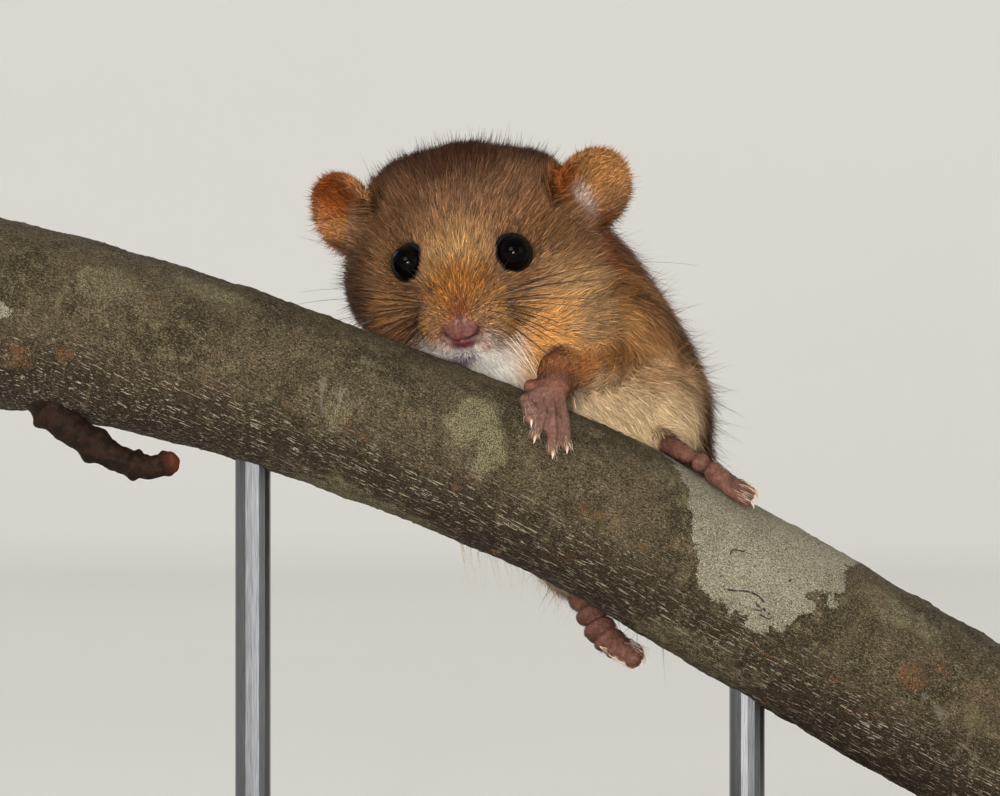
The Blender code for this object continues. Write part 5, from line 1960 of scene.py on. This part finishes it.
def rod_finish():
    """Brushed steel, drawn along its length."""
    steel = Finish("stand_steel", Metallic=1.0)
    lines = steel.noise(steel.place(stretch=(1.0, 1.0, 0.05)), 9.0)
    return steel.fed(Base_Color=steel.blend(lines, "5b5d60", "8a8c8f"),
                     Roughness=lines * 0.22 + 0.3, Normal=steel.bump(lines, 0.01))


def floor_finish():
    floor = Finish("studio_floor", Specular_IOR_Level=0.2, Emission_Strength=0.16,
                   Emission_Color=(*rgb("efede9"), 1.0))
    tone = floor.noise(floor.place(6.0), 1.0, 3.0)
    return floor.fed(Base_Color=floor.blend(tone, "e9e7e2", "eeece8"),
                     Roughness=floor.noise(floor.place(60.0)) * 0.15 + 0.75)


# ---- stage, light and camera
def make_floor(material):
    """A wide pale disc whose far edge curves up like a dish, in metres from its middle."""
    flat_to, spokes = 1.6, 96
    radii = [0.3, 0.9] + [flat_to + 0.12 * k for k in range(26)]
    turns = [2 * math.pi * s / spokes for s in range(spokes)]
    points = [(1000 * radius * math.cos(turn), 1000 * radius * math.sin(turn),
               450.0 * max(0.0, radius - flat_to) ** 2) for radius in radii for turn in turns]
    faces = (fan_faces(0, spokes, len(points), flip=True)
             + tube_faces(len(radii), spokes, flip=True))
    floor = mesh_of("floor", points + [(0.0, 0.0, 0.0)], faces)
    floor.data.materials.append(material)
    return floor


MARKS = (  # thin dark lines on the lichen, as (x on the axis, turn) from end to end
    ((18.1, 92.0), (18.9, 89.0), (19.7, 85.5), (20.6, 84.5), (21.4, 86.5)),
    ((21.0, 89.0), (21.5, 91.5), (21.2, 94.0), (20.6, 93.0)),
    ((21.6, 90.0), (22.1, 91.5), (22.2, 94.0), (21.7, 94.5)),
    ((17.6, 70.0), (18.0, 66.0), (18.3, 63.0)),
    ((19.4, 60.0), (19.9, 57.5)),
    ((20.6, 62.0), (21.1, 61.0)),
    ((19.0, 50.0), (19.3, 46.0)),
    ((22.0, 66.0), (22.4, 63.0)),
)


def make_marks(material):
    """The marks as one mesh of thin threads that lie on the bark."""
    parts = []
    for row in MARKS:
        spots = np.array([on_bark(x, turn, 0.1) for x, turn in row], float)
        path = smooth_path(spots, 9 * len(row))
        radii = np.clip(0.05 + 0.06 * wobble(path * 40, 9.0, 51), 0.015, 0.12)
        radii[0] = radii[-1] = 0.02
        parts.append(swept(path, radii, 8))
    hand_over(mesh_of("bark_marks", *joined(parts)), material, "bark")


ANIMAL, WHITE = (0.0, 0.005, 0.05), (1.0, 1.0, 1.0)
LAMPS = (  # (name, place and aim in metres, width, watts, tint)
    ("key", (-0.35, -1.10, 0.62), ANIMAL, 0.55, 5.3, (1.0, 0.97, 0.93)),
    ("front", (0.02, -1.10, 0.10), ANIMAL, 0.30, 5.3, (1.0, 0.98, 0.95)),
    ("catch", (-0.05, -0.60, 0.06), ANIMAL, 0.024, 1.35, (1.0, 0.98, 0.95)),
    ("fill", (0.95, -0.75, 0.35), ANIMAL, 0.80, 1.8, (0.96, 0.98, 1.0)),
    ("rim", (0.60, 1.10, 0.95), ANIMAL, 0.50, 1.6, WHITE),
    ("rim_left", (-0.90, 0.80, 0.70), ANIMAL, 0.50, 1.2, WHITE),
    ("backdrop", (0.0, 1.20, 1.30), (0.0, 4.0, 0.9), 1.00, 7.0, WHITE),
)


def light_scene():
    for name, at, aim, width, watts, tint in LAMPS:
        light = bpy.data.lights.new(name, "AREA")
        light.shape, light.size, light.energy, light.color = "DISK", width, watts, tint
        lamp = add_object(name, light)
        lamp.location = at
        lamp.rotation_euler = (Vector(aim) - Vector(at)).to_track_quat("-Z", "Y").to_euler()
    world = bpy.data.worlds.new("studio")
    world.use_nodes = True
    background = world.node_tree.nodes["Background"]
    background.inputs["Color"].default_value = (*rgb("dcdad6"), 1.0)
    background.inputs["Strength"].default_value = 0.4
    bpy.context.scene.world = world


def add_camera():
    sensor_width = 36.0
    camera = bpy.data.cameras.new("camera")
    camera.sensor_width = sensor_width
    camera.lens = sensor_width * CAMERA_AWAY / FRAME_WIDTH
    camera.clip_start, camera.clip_end = 0.01, 20.0
    holder = add_object("camera", camera)
    holder.location = (0.0, -CAMERA_AWAY, CAMERA_HEIGHT)
    holder.rotation_euler = (math.pi / 2, 0.0, 0.0)
    bpy.context.scene.camera = holder


def make_animal():
    """Skin, coat, eyes, claws and whiskers."""
    flesh = body_flesh()
    skin = make_skin(flesh)
    paint_skin(flesh, skin)
    coat = make_coat(flesh, skin, coat_finish())
    kept = ("eye_", "perch_", "stand_")
    hand_over(skin, skin_finish(), "bare_skin",
              *[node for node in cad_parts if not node.startswith(kept)])
    for piece, slot in coat:
        hand_over(piece, None, slot)
    eye = eye_finish()
    for side in (-1, 1):
        make_eye(side, eye)
    make_claws(claw_finish())
    make_whiskers(flesh, whisker_finish())


def finish_stand():
    """The stand's own solids are shown as they are, with their materials."""
    for node, make in (("stand_base", base_finish), ("stand_rod_long", rod_finish),
                       ("stand_rod_short", rod_finish)):
        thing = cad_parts[node]
        thing.data.materials.clear()
        thing.data.materials.append(make())


def build():
    make_animal()
    make_branch(bark_finish())
    make_marks(mark_finish())
    make_twig(twig_finish())
    finish_stand()
    make_floor(floor_finish())
    light_scene()
    add_camera()
    bpy.context.scene.view_settings.view_transform = "Standard"


build()
